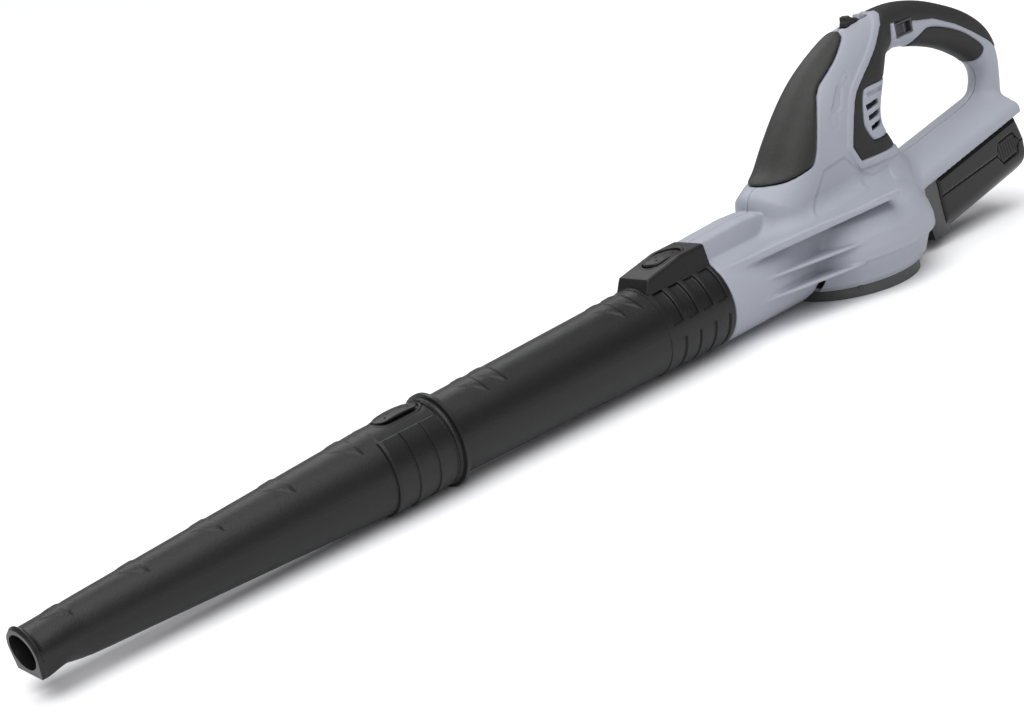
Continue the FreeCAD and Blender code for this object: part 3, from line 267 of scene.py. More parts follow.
def ramp(value, start, end):
    """Zero before start, one after end, smooth between."""
    share = np.clip((value - start) / (end - start), 0, 1)
    return share * share * (3 - 2 * share)


def flowing(points, pieces=6):
    """A closed smooth curve through the points."""
    points = np.array(points, float)
    before, after, beyond = (np.roll(points, shift, 0) for shift in (1, -1, -2))
    curve = []
    for share in np.arange(pieces) / pieces:
        curve.append(0.5 * (2 * points + (after - before) * share
                            + (2 * before - 5 * points + 4 * after - beyond) * share ** 2
                            + (3 * points - before - 3 * after + beyond) * share ** 3))
    return np.stack(curve, 1).reshape(-1, 2)


def outline_distance(outline, x, z):
    """Distance in the side view to a closed outline, negative inside it."""
    nearest = np.full(np.broadcast(x, z).shape, FAR_AWAY, np.float32)
    inside = np.zeros(nearest.shape, bool)
    for (ax, az), (bx, bz) in zip(outline, np.roll(outline, -1, 0)):
        run_x, run_z = bx - ax, bz - az
        length = max(run_x ** 2 + run_z ** 2, 1e-9)
        share = np.clip(((x - ax) * run_x + (z - az) * run_z) / length, 0, 1)
        nearest = np.minimum(nearest, np.hypot(x - ax - share * run_x, z - az - share * run_z))
        if run_z:
            inside ^= ((az > z) != (bz > z)) & (x < run_x * (z - az) / run_z + ax)
    return np.where(inside, -nearest, nearest).astype(np.float32)


def new_piece(name, points, faces, material, body, nodes, crease=None):
    """A finished piece from points on the tool's axes, standing for CAD nodes."""
    mesh = bpy.data.meshes.new(name)
    mesh.from_pydata(in_frame(points).tolist(), [], [list(face) for face in faces])
    mesh.materials.append(material)
    mesh.polygons.foreach_set("use_smooth", np.ones(len(mesh.polygons), bool))
    if crease:
        work = bmesh.new()
        work.from_mesh(mesh)
        for edge in work.edges:
            edge.smooth = edge.calc_face_angle(0.0) < math.radians(crease)
        work.to_mesh(mesh)
        work.free()
    piece = bpy.data.objects.new(name, mesh)
    bpy.context.scene.collection.objects.link(piece)
    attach(piece, body)
    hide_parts(*nodes)
    return piece


def field_piece(name, lattice, field, material, body, nodes):
    """A piece whose skin is where the field is zero."""
    grid = openvdb.FloatGrid(background=float(FIELD_REACH))
    clipped = np.clip(field, -FIELD_REACH, FIELD_REACH).astype(np.float32)
    for axis in range(3):
        ends = [slice(None)] * 3
        for end in (0, -1):
            ends[axis] = end
            clipped[tuple(ends)] = FIELD_REACH
    grid.copyFromArray(np.ascontiguousarray(clipped))
    points, quads = grid.convertToQuads(0.0)
    return new_piece(name, points * lattice.step + lattice.low, quads, material, body, nodes)


DUCT_RADIUS = 37.5
SHOULDER_X = 267.9
DUCT_END = 383.0
BOWL_RADIUS, BOWL_BASE = 76.0, -10.0
SHELL_WALL = 2.6
BATTERY_ORIGIN = (530.0, 15.0)
battery_axis = np.array(joints["battery_slide"]["axis"], float)
BATTERY_PITCH = math.atan2(battery_axis @ SHAFT_AXIS, battery_axis @ TUBE_AXIS)

housing = Lattice((262, -80.3, -40.7), (660, 80.3, 170))
hx, hy, hz = housing.x, housing.y, housing.z
side = np.abs(hy)


def on_battery(x, z):
    """Places along the battery's slide and square to it."""
    along, above = x - BATTERY_ORIGIN[0], z - BATTERY_ORIGIN[1]
    cosine, sine = math.cos(BATTERY_PITCH), math.sin(BATTERY_PITCH)
    return along * cosine + above * sine, above * cosine - along * sine


pack_u, pack_v = on_battery(hx, hz)

duct = np.hypot(hy, hz) - DUCT_RADIUS
duct = np.maximum(duct, SHOULDER_X - hx)

BOWL_ROUNDING = 6.0
from_shaft = np.hypot(hx - FAN_X, hy)
BOWL_PROFILE = np.array([(0, 31), (38, 29.5), (52, 25), (62, 16.5), (68, 6), (70, -3)], float)


def bowl_distance(lattice_radius, height):
    """The fan bowl: a turned profile with a rounded shoulder."""
    nearest = np.full(np.broadcast(lattice_radius, height).shape, FAR_AWAY, np.float32)
    for (ar, az), (br, bz) in zip(BOWL_PROFILE, BOWL_PROFILE[1:]):
        run_r, run_z = br - ar, bz - az
        share = np.clip(((lattice_radius - ar) * run_r + (height - az) * run_z)
                        / (run_r ** 2 + run_z ** 2), 0, 1)
        nearest = np.minimum(nearest, np.hypot(lattice_radius - ar - share * run_r,
                                               height - az - share * run_z))
    wall = np.abs(lattice_radius - BOWL_PROFILE[-1, 0]) + 1e3 * (height > BOWL_PROFILE[-1, 1])
    nearest = np.minimum(nearest, wall)
    rim = np.interp(height.ravel(), BOWL_PROFILE[::-1, 1], BOWL_PROFILE[::-1, 0],
                    left=BOWL_PROFILE[-1, 0], right=-1).astype(np.float32).reshape(height.shape)
    return np.where(lattice_radius < rim, -nearest, nearest) - BOWL_ROUNDING


bowl = bowl_distance(from_shaft, hz)

# side view of the column, the handle and the arm, and of the finger opening
upper_outline = flowing([
    (330, 14), (333, 40), (337, 58), (348, 66), (362, 74), (377, 91), (396, 111), (416, 128.5),
    (434, 140), (452, 149), (469, 155.5), (486, 158), (505, 160), (524, 161), (545, 159.5),
    (568, 154), (592, 144.5), (620, 130), (640, 114), (650, 98), (653, 80), (651, 62),
    (648, 46), (647, 32), (600, 18), (540, 6), (500, -4), (430, -4), (360, 0),
])
finger_outline = flowing([
    (508, 113), (518, 124), (537, 123), (561, 117), (585, 108), (606, 96), (621, 84),
    (628, 71), (622, 56), (606, 44), (586, 41), (560, 37.5), (532, 33.5), (516, 36.5),
    (503, 47), (495, 62), (490, 75), (492, 86), (499, 99),
])
upper_side = outline_distance(upper_outline, hx[:, 0], hz[0])
finger_side = outline_distance(finger_outline, hx[:, 0], hz[0])
loop_side = np.maximum(upper_side, -finger_side)[:, None, :]
column_half = np.interp(hz.ravel(), (0, 12, 66, 90, 115, 135, 154),
                        (36, 33, 29, 27.5, 25, 21.5, 16.5)).astype(np.float32)[None, None, :]
HANDLE_HALF, CROWN_SHARE = 15.0, 0.92
on_handle = ramp(hx, 488.0, 528.0)
half_width = column_half * (1 - on_handle) + HANDLE_HALF * on_handle
loop = rounded_max(loop_side, side - half_width, CROWN_SHARE * half_width)

ARM_HALF, ARM_TOP_HALF, ARM_HEIGHT = 35.0, 14.0, 21.0
ARM_FRONT, ARM_REAR = -62.0, 112.0
ARM_SHOULDER, ARM_EDGE, ARM_CROWN, ARM_END_EDGE = 8.0, 4.0, 8.0, 5.0
slant_run, slant_rise = ARM_HALF - ARM_TOP_HALF, ARM_HEIGHT - ARM_SHOULDER
slant_length = math.hypot(slant_run, slant_rise)
arm_slant = ((side - ARM_HALF) * slant_rise + (pack_v - ARM_SHOULDER) * slant_run) / slant_length
arm = rounded_max(side - ARM_HALF, arm_slant, ARM_EDGE)
arm = rounded_max(arm, pack_v - ARM_HEIGHT, ARM_CROWN)
arm = rounded_max(arm, np.abs(pack_u - (ARM_FRONT + ARM_REAR) / 2)
                  - (ARM_REAR - ARM_FRONT) / 2, ARM_END_EDGE)

SPINE_HALF, SPINE_END, SPINE_FOOT = 15.0, 350.0, 12.0
SPINE_DRAFT, SPINE_EDGE = 0.12, 2.5
spine_top = np.interp(hx.ravel(), (262, 313, 332, 350), (49, 51, 50, 44)).astype(
    np.float32)[:, None, None]
spine_spread = SPINE_DRAFT * (spine_top - hz)
spine_nose = np.hypot(np.maximum(hx - SPINE_END + SPINE_HALF, 0), hy)
spine = rounded_max(side - SPINE_HALF - spine_spread, hz - spine_top, SPINE_EDGE)
spine = rounded_max(spine, spine_nose - SPINE_HALF - spine_spread, SPINE_EDGE)
spine = np.maximum(np.maximum(spine, SHOULDER_X - hx), SPINE_FOOT - hz)

# webs that fair the duct into the bowl, with deep pockets between them
FAIRING_START, FAIRING_END = (306.0, 37.0), (388.0, 61.5)
fair_run, fair_rise = FAIRING_END[0] - FAIRING_START[0], FAIRING_END[1] - FAIRING_START[1]
fairing = (((side - FAIRING_START[1]) * fair_run - (hx - FAIRING_START[0]) * fair_rise)
           / math.hypot(fair_run, fair_rise))
fairing = np.maximum(fairing, hx - FAN_X)
SHELF_HEIGHT, SHELF_RISE, SHELF_HALF = 25.5, 0.07, 3.4
FIN_HEIGHTS, FIN_HALF, WEB_EDGE = (5.0, -11.5), 1.5, 1.2
shelf_height = SHELF_HEIGHT + SHELF_RISE * (hx - FAIRING_START[0])


def web(height, half_thickness):
    """One level plate that reaches out to the fairing line."""
    return rounded_max(fairing, np.abs(hz - height) - half_thickness, WEB_EDGE)


# how softly each form runs into the last, and where the open inside stops
BOWL_JOIN, SHELF_JOIN, LOOP_JOIN, FIN_JOIN, ARM_JOIN = 4.0, 3.0, 12.0, 1.5, 7.0
LOOP_FLOOR, INNER_REACH = -4.0, 30.0


def housing_form(closed_below):
    """The whole outside, with or without its open underside shut."""
    bowl_part, loop_part = bowl, loop
    duct_part = np.maximum(duct, hx - (DUCT_END if closed_below else DUCT_END + INNER_REACH))
    if closed_below:
        bowl_part = np.maximum(bowl, BOWL_BASE - hz)
        loop_part = np.maximum(loop, LOOP_FLOOR - hz)
    form = rounded_min(duct_part, bowl_part, BOWL_JOIN)
    if closed_below:
        form = np.maximum(form, np.minimum(BOWL_BASE - hz, duct_part))
    form = rounded_min(form, web(shelf_height, SHELF_HALF), SHELF_JOIN)
    form = rounded_min(form, loop_part, LOOP_JOIN)
    for height in FIN_HEIGHTS:
        form = rounded_min(form, web(height, FIN_HALF), FIN_JOIN)
    form = rounded_min(form, spine, FIN_JOIN)
    return rounded_min(form, arm, ARM_JOIN)


outside = housing_form(True)
inside = housing_form(False) + SHELL_WALL
SOCKET_FRONT, BOWL_CLEARANCE = -64.0, 0.5
pack_side = np.maximum(np.maximum(pack_v, SOCKET_FRONT - pack_u),
                       BOWL_RADIUS + BOWL_CLEARANCE - from_shaft)
outside = np.maximum(outside, -pack_side)


# side-view outlines where the hood, the soft grips, the palm pad and the vent
# panel take the shells' place
hood_outline = flowing([
    (300, 60), (322, 65), (346, 65.5), (365, 65), (380, 67.5), (390, 70.5), (396.5, 79),
    (405, 96), (416, 115.5), (424, 124.5), (435, 131), (449, 139), (462, 147.5), (473, 155),
    (482, 163), (470, 185), (380, 185), (310, 150),
])
grip_outline = np.array([
    (463, 54.5), (442, 55.5), (436, 69.5), (444.5, 90), (451, 102.5), (456, 109.5), (464.5, 116),
    (479, 126), (496, 139), (509, 150), (516, 158), (516, 190), (690, 190), (690, 82), (655, 82),
    (638.5, 97), (619, 111.5), (599.5, 124), (574.5, 136), (549, 141.5), (546, 130.5),
    (520, 135), (517, 126), (508, 113), (512, 90), (512, 60), (530, 52),
])
vent_outline = flowing([
    (464, 66.5), (460, 69), (455.5, 79), (456, 87), (460, 99.5), (464, 107), (469, 109.5),
    (488, 109.5), (520, 108), (524, 86), (520, 66), (484, 65.5),
], 4)
palm_outline = flowing([
    (540, 108), (546, 121), (556, 128), (567, 131), (588, 124.5), (610, 113), (628, 97.5),
    (629, 90), (620, 83), (600, 88), (570, 100),
], 4)
switch_outline = np.array([(523, 146.5), (546.5, 141.5), (545, 130.5), (520, 135)])


def region(outline):
    """Distance to a side-view outline, the same at every depth."""
    return outline_distance(outline, hx[:, 0], hz[0])[:, None, :]


hood_region = region(hood_outline)
vent_region = region(vent_outline)
grip_region = np.maximum(region(grip_outline), -region(switch_outline) + 0.8)
grip_region = np.maximum(grip_region, -vent_region)
palm_region = region(palm_outline)
SEAM = 0.25

# raised border round the soft grip, sunk side panel and the three-part side strip,
# all with a fine groove round them
BORDER_WIDTH, BORDER_RISE, BORDER_END = 6.3, 1.3, (528.0, 534.0)
PANEL_DEPTH, SLOT_DEPTH, GROOVE_DEPTH, GROOVE_WIDTH = 1.0, 1.2, 0.7, 0.8
border = ramp(grip_region, 0.2, 1.0) * (1 - ramp(grip_region, BORDER_WIDTH, BORDER_WIDTH + 1))
border = border * (1 - ramp(hx, *BORDER_END)) * (vent_region > 0)
panel = region(np.array([(424, 64.5), (399, 62), (371, 33.5), (466, 32), (470, 43), (449.5, 41),
                         (439, 46)]))
strip_parts = (([(439.7, 120.5), (451.7, 128.3), (453.8, 126.5), (452, 123.5), (444, 119)], 0.0),
               ([(439, 120.5), (441.7, 117.5), (435.2, 104), (430.3, 101.5), (424.3, 103.5),
                 (435, 116.5)], SLOT_DEPTH),
               ([(424, 102.8), (431.2, 100.2), (426.5, 90.6), (422.7, 89.7), (418.4, 91.5)], 0.0))
relief = (-BORDER_RISE * border + PANEL_DEPTH * (1 - ramp(panel, -0.9, 0.3))
          + GROOVE_DEPTH * np.exp(-(panel / GROOVE_WIDTH) ** 2))
for corners, depth in strip_parts:
    edge = region(np.array(corners, float))
    relief = (relief + depth * (1 - ramp(edge, -0.6, 0.6))
              + GROOVE_DEPTH * np.exp(-(edge / GROOVE_WIDTH) ** 2))

# the soft skins lie in shallow beds, and the inside is one wall thickness in
SOFT_DEPTH, PLAIN_MIDDLE = 1.6, 5
under_soft = np.minimum(grip_region, palm_region)
shell_skin = (outside + relief * (side > PLAIN_MIDDLE)
              + SOFT_DEPTH * (1 - ramp(under_soft, -0.4, 0.4)))
shell_skin = np.maximum(shell_skin, -(hood_region - SEAM))
shell_skin = np.maximum(shell_skin, -(vent_region - SEAM))
FRONT_WALL, OUTLET_BORE, BORE_END = 3.6, 33.3, 290.0
cavity = np.maximum(inside + SOFT_DEPTH * (under_soft < 4), SHOULDER_X + FRONT_WALL - hx)
cavity = np.minimum(cavity, np.maximum(np.hypot(hy, hz) - OUTLET_BORE, hx - BORE_END))

# openings: the battery's channel, the lever's well and the switch's pocket
CHANNEL_HALF, CHANNEL_FRONT, CHANNEL_REAR = 28.0, -13.0, 119.5
CHANNEL_MIDDLE, CHANNEL_HALF_HEIGHT = 5.0, 6.0
channel = np.maximum(side - CHANNEL_HALF, np.abs(pack_v - CHANNEL_MIDDLE) - CHANNEL_HALF_HEIGHT)
channel = np.maximum(channel, np.maximum(CHANNEL_FRONT - pack_u, pack_u - CHANNEL_REAR))
LEVER_X, LEVER_Z = 494.0, 146.0
WELL_HALF_LENGTH, WELL_HALF_WIDTH, WELL_FLOOR = 15.0, 5.2, 140.0
lever_well = np.maximum(np.maximum(np.abs(hx - LEVER_X) - WELL_HALF_LENGTH,
                                   side - WELL_HALF_WIDTH), WELL_FLOOR - hz)
SWITCH_X, SWITCH_Z, SWITCH_HALF_LENGTH, SWITCH_HALF_HEIGHT = 536.0, 139.5, 10.5, 6.0
POCKET_MOUTH, POCKET_FLOOR = -30.0, -4.0
switch_pocket = np.maximum(np.maximum(np.abs(hx - SWITCH_X) - SWITCH_HALF_LENGTH,
                                      np.abs(hz - SWITCH_Z) - SWITCH_HALF_HEIGHT),
                           np.maximum(hy - POCKET_FLOOR, POCKET_MOUTH - hy))
for opening in (channel, lever_well, switch_pocket):
    cavity = np.minimum(cavity, opening)
shell_solid = np.maximum(shell_skin, -cavity)
PARTING_GAP = 0.05

housing_grey = moulded("housing_grey", (0.300, 0.315, 0.360), 0.46, 1500, 0.35, cloud=0.05,
                       wear=0.18)
for name, half in (("left", hy), ("right", -hy)):
    shell = np.maximum(shell_solid, half + PARTING_GAP)
    field_piece(name + "_half_shell", housing, shell, housing_grey, "housing",
                [name + "_shell"])
finish_nodes(housing_grey, "bottom_cover")


# ---------------------------------------------------------------- hood
# A dark moulded hood closes the front of the motor column. It bulges a little
# over the grey edge that frames it.

hood_grey = moulded("hood_dark", (0.020, 0.0195, 0.0185), 0.50, 1100, 0.9, cloud=0.12, wear=0.10)
HOOD_BULGE, HOOD_EDGE, HOOD_DEPTH = 1.0, 3.5, 3.0
hood_field = rounded_max(outside - HOOD_BULGE, hood_region + SEAM, HOOD_EDGE)
hood_field = np.maximum(hood_field, -(outside + HOOD_DEPTH))
hood_field = np.maximum(hood_field, -lever_well)
field_piece("motor_hood", housing, hood_field, hood_grey, "housing",
            ["front_hood"])


# ---------------------------------------------------------------- soft grips and palm pad
# Rubber moulded over the shells where the hand goes, with a fine matt grain.

grip_rubber = moulded("grip_rubber", (0.017, 0.0165, 0.016), 0.60, 1300, 1.0, cloud=0.14,
                      wear=0.05)
GRIP_PROUD, GRIP_EDGE, PALM_PROUD, PALM_EDGE, SKIN_DEPTH = 0.4, 1.6, 0.6, 2.0, 2.4
grip_field = rounded_max(outside - GRIP_PROUD, grip_region + SEAM, GRIP_EDGE)
grip_field = np.maximum(grip_field, -(outside + SKIN_DEPTH))
grip_field = np.maximum(np.maximum(grip_field, -lever_well), -switch_pocket)
for name, half in (("left", hy), ("right", -hy)):
    field_piece(name + "_soft_grip", housing, np.maximum(grip_field, half + PARTING_GAP),
                grip_rubber, "housing", [name + "_grip"])
palm_field = rounded_max(outside - PALM_PROUD, palm_region + SEAM, PALM_EDGE)
palm_field = np.maximum(palm_field, -(outside + SKIN_DEPTH))
field_piece("palm_pad", housing, palm_field, grip_rubber, "housing",
            ["palm_grip"])


# ---------------------------------------------------------------- vent panel
# The grey panel behind the motor lets the cooling air out through three slots.

VENT_PROUD, VENT_EDGE, VENT_DEPTH = 0.6, 1.2, 3.0
VENT_SLOTS, VENT_PITCH, VENT_FIRST, VENT_SLOPE = 3, 8.6, 77.2, 0.10
SLOT_MIDDLE, SLOT_HALF_LENGTH, SLOT_HALF_HEIGHT, SLOT_CORNER = 470.5, 8.5, 2.2, 0.8
LEDGE_MIDDLE, LEDGE_HEIGHT, LEDGE_HALF, LEDGE_DEPTH = 477.5, 103.5, (11.0, 1.6), 1.2
vent_field = rounded_max(outside - VENT_PROUD, vent_region + SEAM, VENT_EDGE)
vent_field = np.maximum(vent_field, -(outside + VENT_DEPTH))
for number in range(VENT_SLOTS):
    height = VENT_FIRST + VENT_PITCH * number + VENT_SLOPE * (hx - 468.0)
    slot_form = rounded_max(np.abs(hz - height) - SLOT_HALF_HEIGHT,
                            np.abs(hx - SLOT_MIDDLE) - SLOT_HALF_LENGTH, SLOT_CORNER)
    vent_field = np.maximum(vent_field, -slot_form)
ledge = rounded_max(np.abs(hz - LEDGE_HEIGHT) - LEDGE_HALF[1],
                    np.abs(hx - LEDGE_MIDDLE) - LEDGE_HALF[0], SLOT_CORNER)
vent_field = np.maximum(vent_field, -np.maximum(ledge, -(outside + LEDGE_DEPTH)))
field_piece("vent_panel", housing, vent_field, housing_grey, "housing",
            ["motor_vent"])


# ---------------------------------------------------------------- intake grille and foot
# A black ring that the blower lies on, with bars across the fan's mouth.

black_plastic = moulded("black_plastic", (0.007, 0.007, 0.0075), 0.42, 900, 0.5, wear=0.12)
finish_nodes(black_plastic, "intake_grille", "battery_socket_front", "rocker")


# ---------------------------------------------------------------- speed lever
# A dark thumb wedge on a hidden drum, ribbed where the thumb pushes, with a
# grey insert behind it. It turns back about a pin across the column.

DRUM_RADIUS, LEVER_HALF, INSERT_HALF, LEVER_EDGE = 11.4, 4.3, 3.6, 0.8
WEDGE_RIB_PITCH, WEDGE_RIB, INSERT_RIB_PITCH, INSERT_RIB = 2.6, 0.35, 2.2, 0.3
lever_space = Lattice((478, -7, 132), (512, 7, 168), 0.5)
vx, vy, vz = lever_space.x, lever_space.y, lever_space.z
wedge = outline_distance(np.array([(483, 150), (482.5, 157), (484.5, 164.5), (488, 164.8),
                                   (491, 162.2), (497, 160.5), (502, 154), (502, 147)]),
                         vx[:, 0], vz[0])[:, None, :]
wedge = wedge + (WEDGE_RIB * np.cos(2 * math.pi * (vx - 484) / WEDGE_RIB_PITCH)
                 * ramp(vz, 158.0, 160.0))
insert = outline_distance(np.array([(497.5, 158), (500, 162.5), (504.5, 162), (507, 158.5),
                                    (505, 153), (499, 152)]), vx[:, 0], vz[0])[:, None, :]
insert = rounded_max(insert + INSERT_RIB * np.cos(2 * math.pi * vy / INSERT_RIB_PITCH),
                     np.abs(vy) - INSERT_HALF, LEVER_EDGE)
drum = np.hypot(vx - LEVER_X, vz - LEVER_Z) - DRUM_RADIUS
lever_form = rounded_max(np.minimum(wedge, drum), np.abs(vy) - LEVER_HALF, LEVER_EDGE)
field_piece("thumb_lever", lever_space, np.maximum(lever_form, -insert + 0.1),
            hood_grey, "lever", ["speed_lever"])
field_piece("lever_insert", lever_space, insert, housing_grey, "lever",
            ["speed_lever"])


# ---------------------------------------------------------------- blow tube
# A tapered black tube that slides over the outlet sleeve. Its grooved collar
# carries the latch box, and shallow chevrons run along its crown.

tube_black = moulded("tube_black", (0.0075, 0.0075, 0.008), 0.40, 1000, 0.55, cloud=0.2,
                     uneven=0.10, wear=0.0)


def relief_tube(name, stations, skin, bore, material, body, nodes, around=288):
    """A tube closed at both rims: skin and bore give radius at x and angle."""
    angle = np.linspace(-math.pi, math.pi, around, endpoint=False)[None, :]
    x = np.array(stations, float)[:, None] + 0 * angle
    wall_y, wall_z = skin(x, angle)
    bore_x = np.array([stations[-1], *bore[0][::-1], stations[0]], float)[:, None] + 0 * angle
    bore_y, bore_z = bore[1](bore_x, angle)
    rows = np.concatenate((np.stack((x, wall_y, wall_z), -1),
                           np.stack((bore_x, bore_y, bore_z), -1)))
    count = len(rows)
    index = np.arange(count * around).reshape(count, around)
    ahead, beside = np.roll(index, -1, 0), np.roll(index, -1, 1)
    faces = np.stack((index, beside, np.roll(ahead, -1, 1), ahead), -1).reshape(-1, 4)
    return new_piece(name, rows.reshape(-1, 3), faces.tolist(), material, body, nodes, 35)


def chevrons(x, angle, fronts, length, radius):
    """Shallow leaf-shaped facets on the crown, each with a crisp slanting edge."""
    rise = 0
    for front in fronts:
        share = (x - front) / length
        edge = np.radians(8 + 34 * np.clip(share, 0, 1) ** 1.3)
        inside_leaf = ramp((edge - np.abs(angle)) * radius, 0.0, 0.45)
        fade = ramp(share, -0.15, 0.25) * (1 - ramp(share, 0.9, 1.08))
        rise = rise + MARK_RISE * inside_leaf * fade * (0.35 + 0.65 * np.clip(share, 0, 1))
    return rise


def steps_at(*edges):
    """Pairs of stations close each side of every crisp edge."""
    return [edge + offset for edge in edges for offset in (-0.25, 0.25)]


TUBE_LENGTH, COLLAR_LENGTH = 199.0, 68.5
COLLAR_END = TUBE_LENGTH + COLLAR_LENGTH
SPIGOT_LENGTH, SPIGOT_RADIUS = 45.0, 30.2
COLLAR_SLOTS = (210.5, 226.5, 242.0, 257.5)
COLLAR_GROOVES = (213.4, 229.2, 244.9, 260.6)
COLLAR_SLOT_DEPTH, COLLAR_GROOVE_DEPTH, MOULD_SEAM = 1.9, 1.5, 0.18
TUBE_MARKS, TUBE_MARK_LENGTH, MARK_RISE = (21, 38.5, 156, 172.5), 16.5, 0.75


def tube_skin(x, angle):
    """Outer place of the tube, its collar and its reliefs."""
    radius = np.interp(x, (0, TUBE_LENGTH), (31.0, 35.5))
    radius = np.where(x < 0, SPIGOT_RADIUS, radius)
    collar = ramp(x, TUBE_LENGTH - 0.3, TUBE_LENGTH + 0.3)
    radius = radius + collar * (np.interp(x, (199, COLLAR_END), (36.2, 37.5)) - radius)
    radius = radius - 0.8 * ramp(x, COLLAR_END - 1.2, COLLAR_END)
    radius = radius - 0.4 * (1 - ramp(x, 0, 1.5)) * (x >= 0)
    around = np.degrees(np.abs(angle))
    on_side = ramp(around, 27, 28.5) * (1 - ramp(around, 78.5, 80))
    low_side = ramp(around, 97, 98.5) * (1 - ramp(around, 160, 164))
    for middle in COLLAR_SLOTS:
        radius = radius - COLLAR_SLOT_DEPTH * on_side * (1 - ramp(np.abs(x - middle), 4.6, 5.4))
    for middle in COLLAR_GROOVES:
        near = 1 - ramp(np.abs(x - middle), 0.9, 1.4)
        radius = radius - COLLAR_GROOVE_DEPTH * low_side * near
    radius = radius + chevrons(x, angle, TUBE_MARKS, TUBE_MARK_LENGTH, 33.0)
    seam_line = np.exp(-((around - 88) / 0.5) ** 2) * (x > 4) * (x < TUBE_LENGTH)
    radius = radius + MOULD_SEAM * seam_line
    return radius * np.sin(angle), radius * np.cos(angle)


def tube_bore(x, angle):
    """Inner place of the tube."""
    radius = np.interp(x, (-45, 0, 205.1, 205.3, COLLAR_END), (28, 28, 31, 33.25, 33.25))
    return radius * np.sin(angle), radius * np.cos(angle)


tube_stations = sorted(
    [-SPIGOT_LENGTH, -SPIGOT_LENGTH + 1, -0.3, 0.05, 1.5, COLLAR_END - 1.2, COLLAR_END]
    + list(np.arange(3, 18, 5)) + list(np.arange(18, 58, 0.8)) + list(np.arange(60, 152, 6))
    + list(np.arange(153, 192, 0.8)) + list(np.arange(194, 199, 1.5))
    + steps_at(*(middle + offset for middle in COLLAR_SLOTS for offset in (-5, 5)))
    + list(np.arange(200, 266, 0.9)) + steps_at(TUBE_LENGTH))
relief_tube("blow_tube", tube_stations, tube_skin, ([-45, 0, 205.1, 205.3], tube_bore), tube_black,
            "tube", ["main_tube"])

# the latch box on top of the collar, with the well of its button
latch = Lattice((196, -22, 28), (272, 22, 53), 0.6)
lx, ly, lz = latch.x, np.abs(latch.y), latch.z
BOX_HALF, BOX_EDGE, BOX_DRAFT = 17.0, 2.2, 0.15
WELL_X, WELL_STRAIGHT, WELL_RADIUS, WELL_BOTTOM, RIM_RADIUS = 238.0, 7.0, 10.4, 40.5, 11.6
box_top = np.interp(lx.ravel(), (202, 206, 242, 270), (36, 42.6, 49, 49)).astype(
    np.float32)[:, None, None]
latch_box = rounded_max(ly - BOX_HALF - BOX_DRAFT * (box_top - lz), (lz - box_top) * 0.95,
                        BOX_EDGE)
latch_box = rounded_max(latch_box, (202.0 - lx) + 0.35 * (lz - 36), 1.5)
latch_box = np.maximum(latch_box, lx - COLLAR_END)
well_end = np.maximum(np.abs(lx - WELL_X) - WELL_STRAIGHT, 0)
button_well = np.hypot(well_end, ly) - WELL_RADIUS
latch_box = np.maximum(latch_box, -np.maximum(button_well, WELL_BOTTOM - lz))
rim = np.abs(np.hypot(well_end, ly) - RIM_RADIUS) - 0.9
latch_box = rounded_min(latch_box, np.maximum(rim, np.abs(lz - box_top) - 0.45), 0.5)
latch_box = np.maximum(latch_box, 36.0 - np.hypot(ly, lz))
field_piece("latch_box", latch, latch_box, tube_black, "tube", ["main_tube"])


# ---------------------------------------------------------------- latch buttons
# Oval black caps with two groups of sunk dots for the thumb. The rear one
# frees the tube from the housing, the front one the nozzle from the tube.

def thumb_button(name, middle_x, low, high, length, width, body, node):
    """An oval cap whose crowned top carries six small dimples."""
    dimple_radius = dimple_depth = 0.9
    space = Lattice((middle_x - length / 2 - 2, -width / 2 - 2, low - 2),
                    (middle_x + length / 2 + 2, width / 2 + 2, high + 2), 0.4)
    x, y, z = space.x - middle_x, space.y, space.z
    straight = (length - width) / 2
    plan = np.hypot(np.maximum(np.abs(x) - straight, 0), y) - width / 2
    crowned = high - 0.006 * (x ** 2 + 2 * y ** 2)
    cap = rounded_max(plan, np.maximum(z - crowned, low - z), 0.8)
    for end in (-1, 1):
        for across, reach in ((-0.22, 0.27), (0.22, 0.27), (0.0, 0.15)):
            dimple = np.hypot(x - end * reach * length, y - across * width) - dimple_radius
            cap = np.maximum(cap, -np.maximum(dimple, crowned - dimple_depth - z))
    field_piece(name, space, cap, tube_black, body, [node])


thumb_button("tube_release_button", WELL_X, 45.0, 49.7, 33.6, 19.6, "tube_latch", "tube_button")
thumb_button("nozzle_release_button", -30.0, 32.4, 34.9, 37.6, 16.6, "nozzle_latch",
             "nozzle_button")


# ---------------------------------------------------------------- nozzle
# The long black nozzle tapers from its bead to a flattened mouth with a rolled
# lip and a flat foot. Shingled steps wrap the sides of its socket.

NOZZLE_LENGTH, SOCKET_LENGTH, BEAD_WIDTH = 336.0, 60.0, 4.0
SHINGLE_FRONTS = (-61.5, -43.0, -25.0)
SHINGLE_END = -9.5
NOZZLE_MARKS, NOZZLE_MARK_LENGTH = (-320.5, -263.6, -206.6, -149.6, -92.6), 18.0
BAND_RADIUS, BEAD_RADIUS, LIP_RISE, MOUTH_LIFT = 33.4, 36.0, 2.1, 2.0
FOOT_HEIGHT, FOOT_HALF = -13.2, 18.4


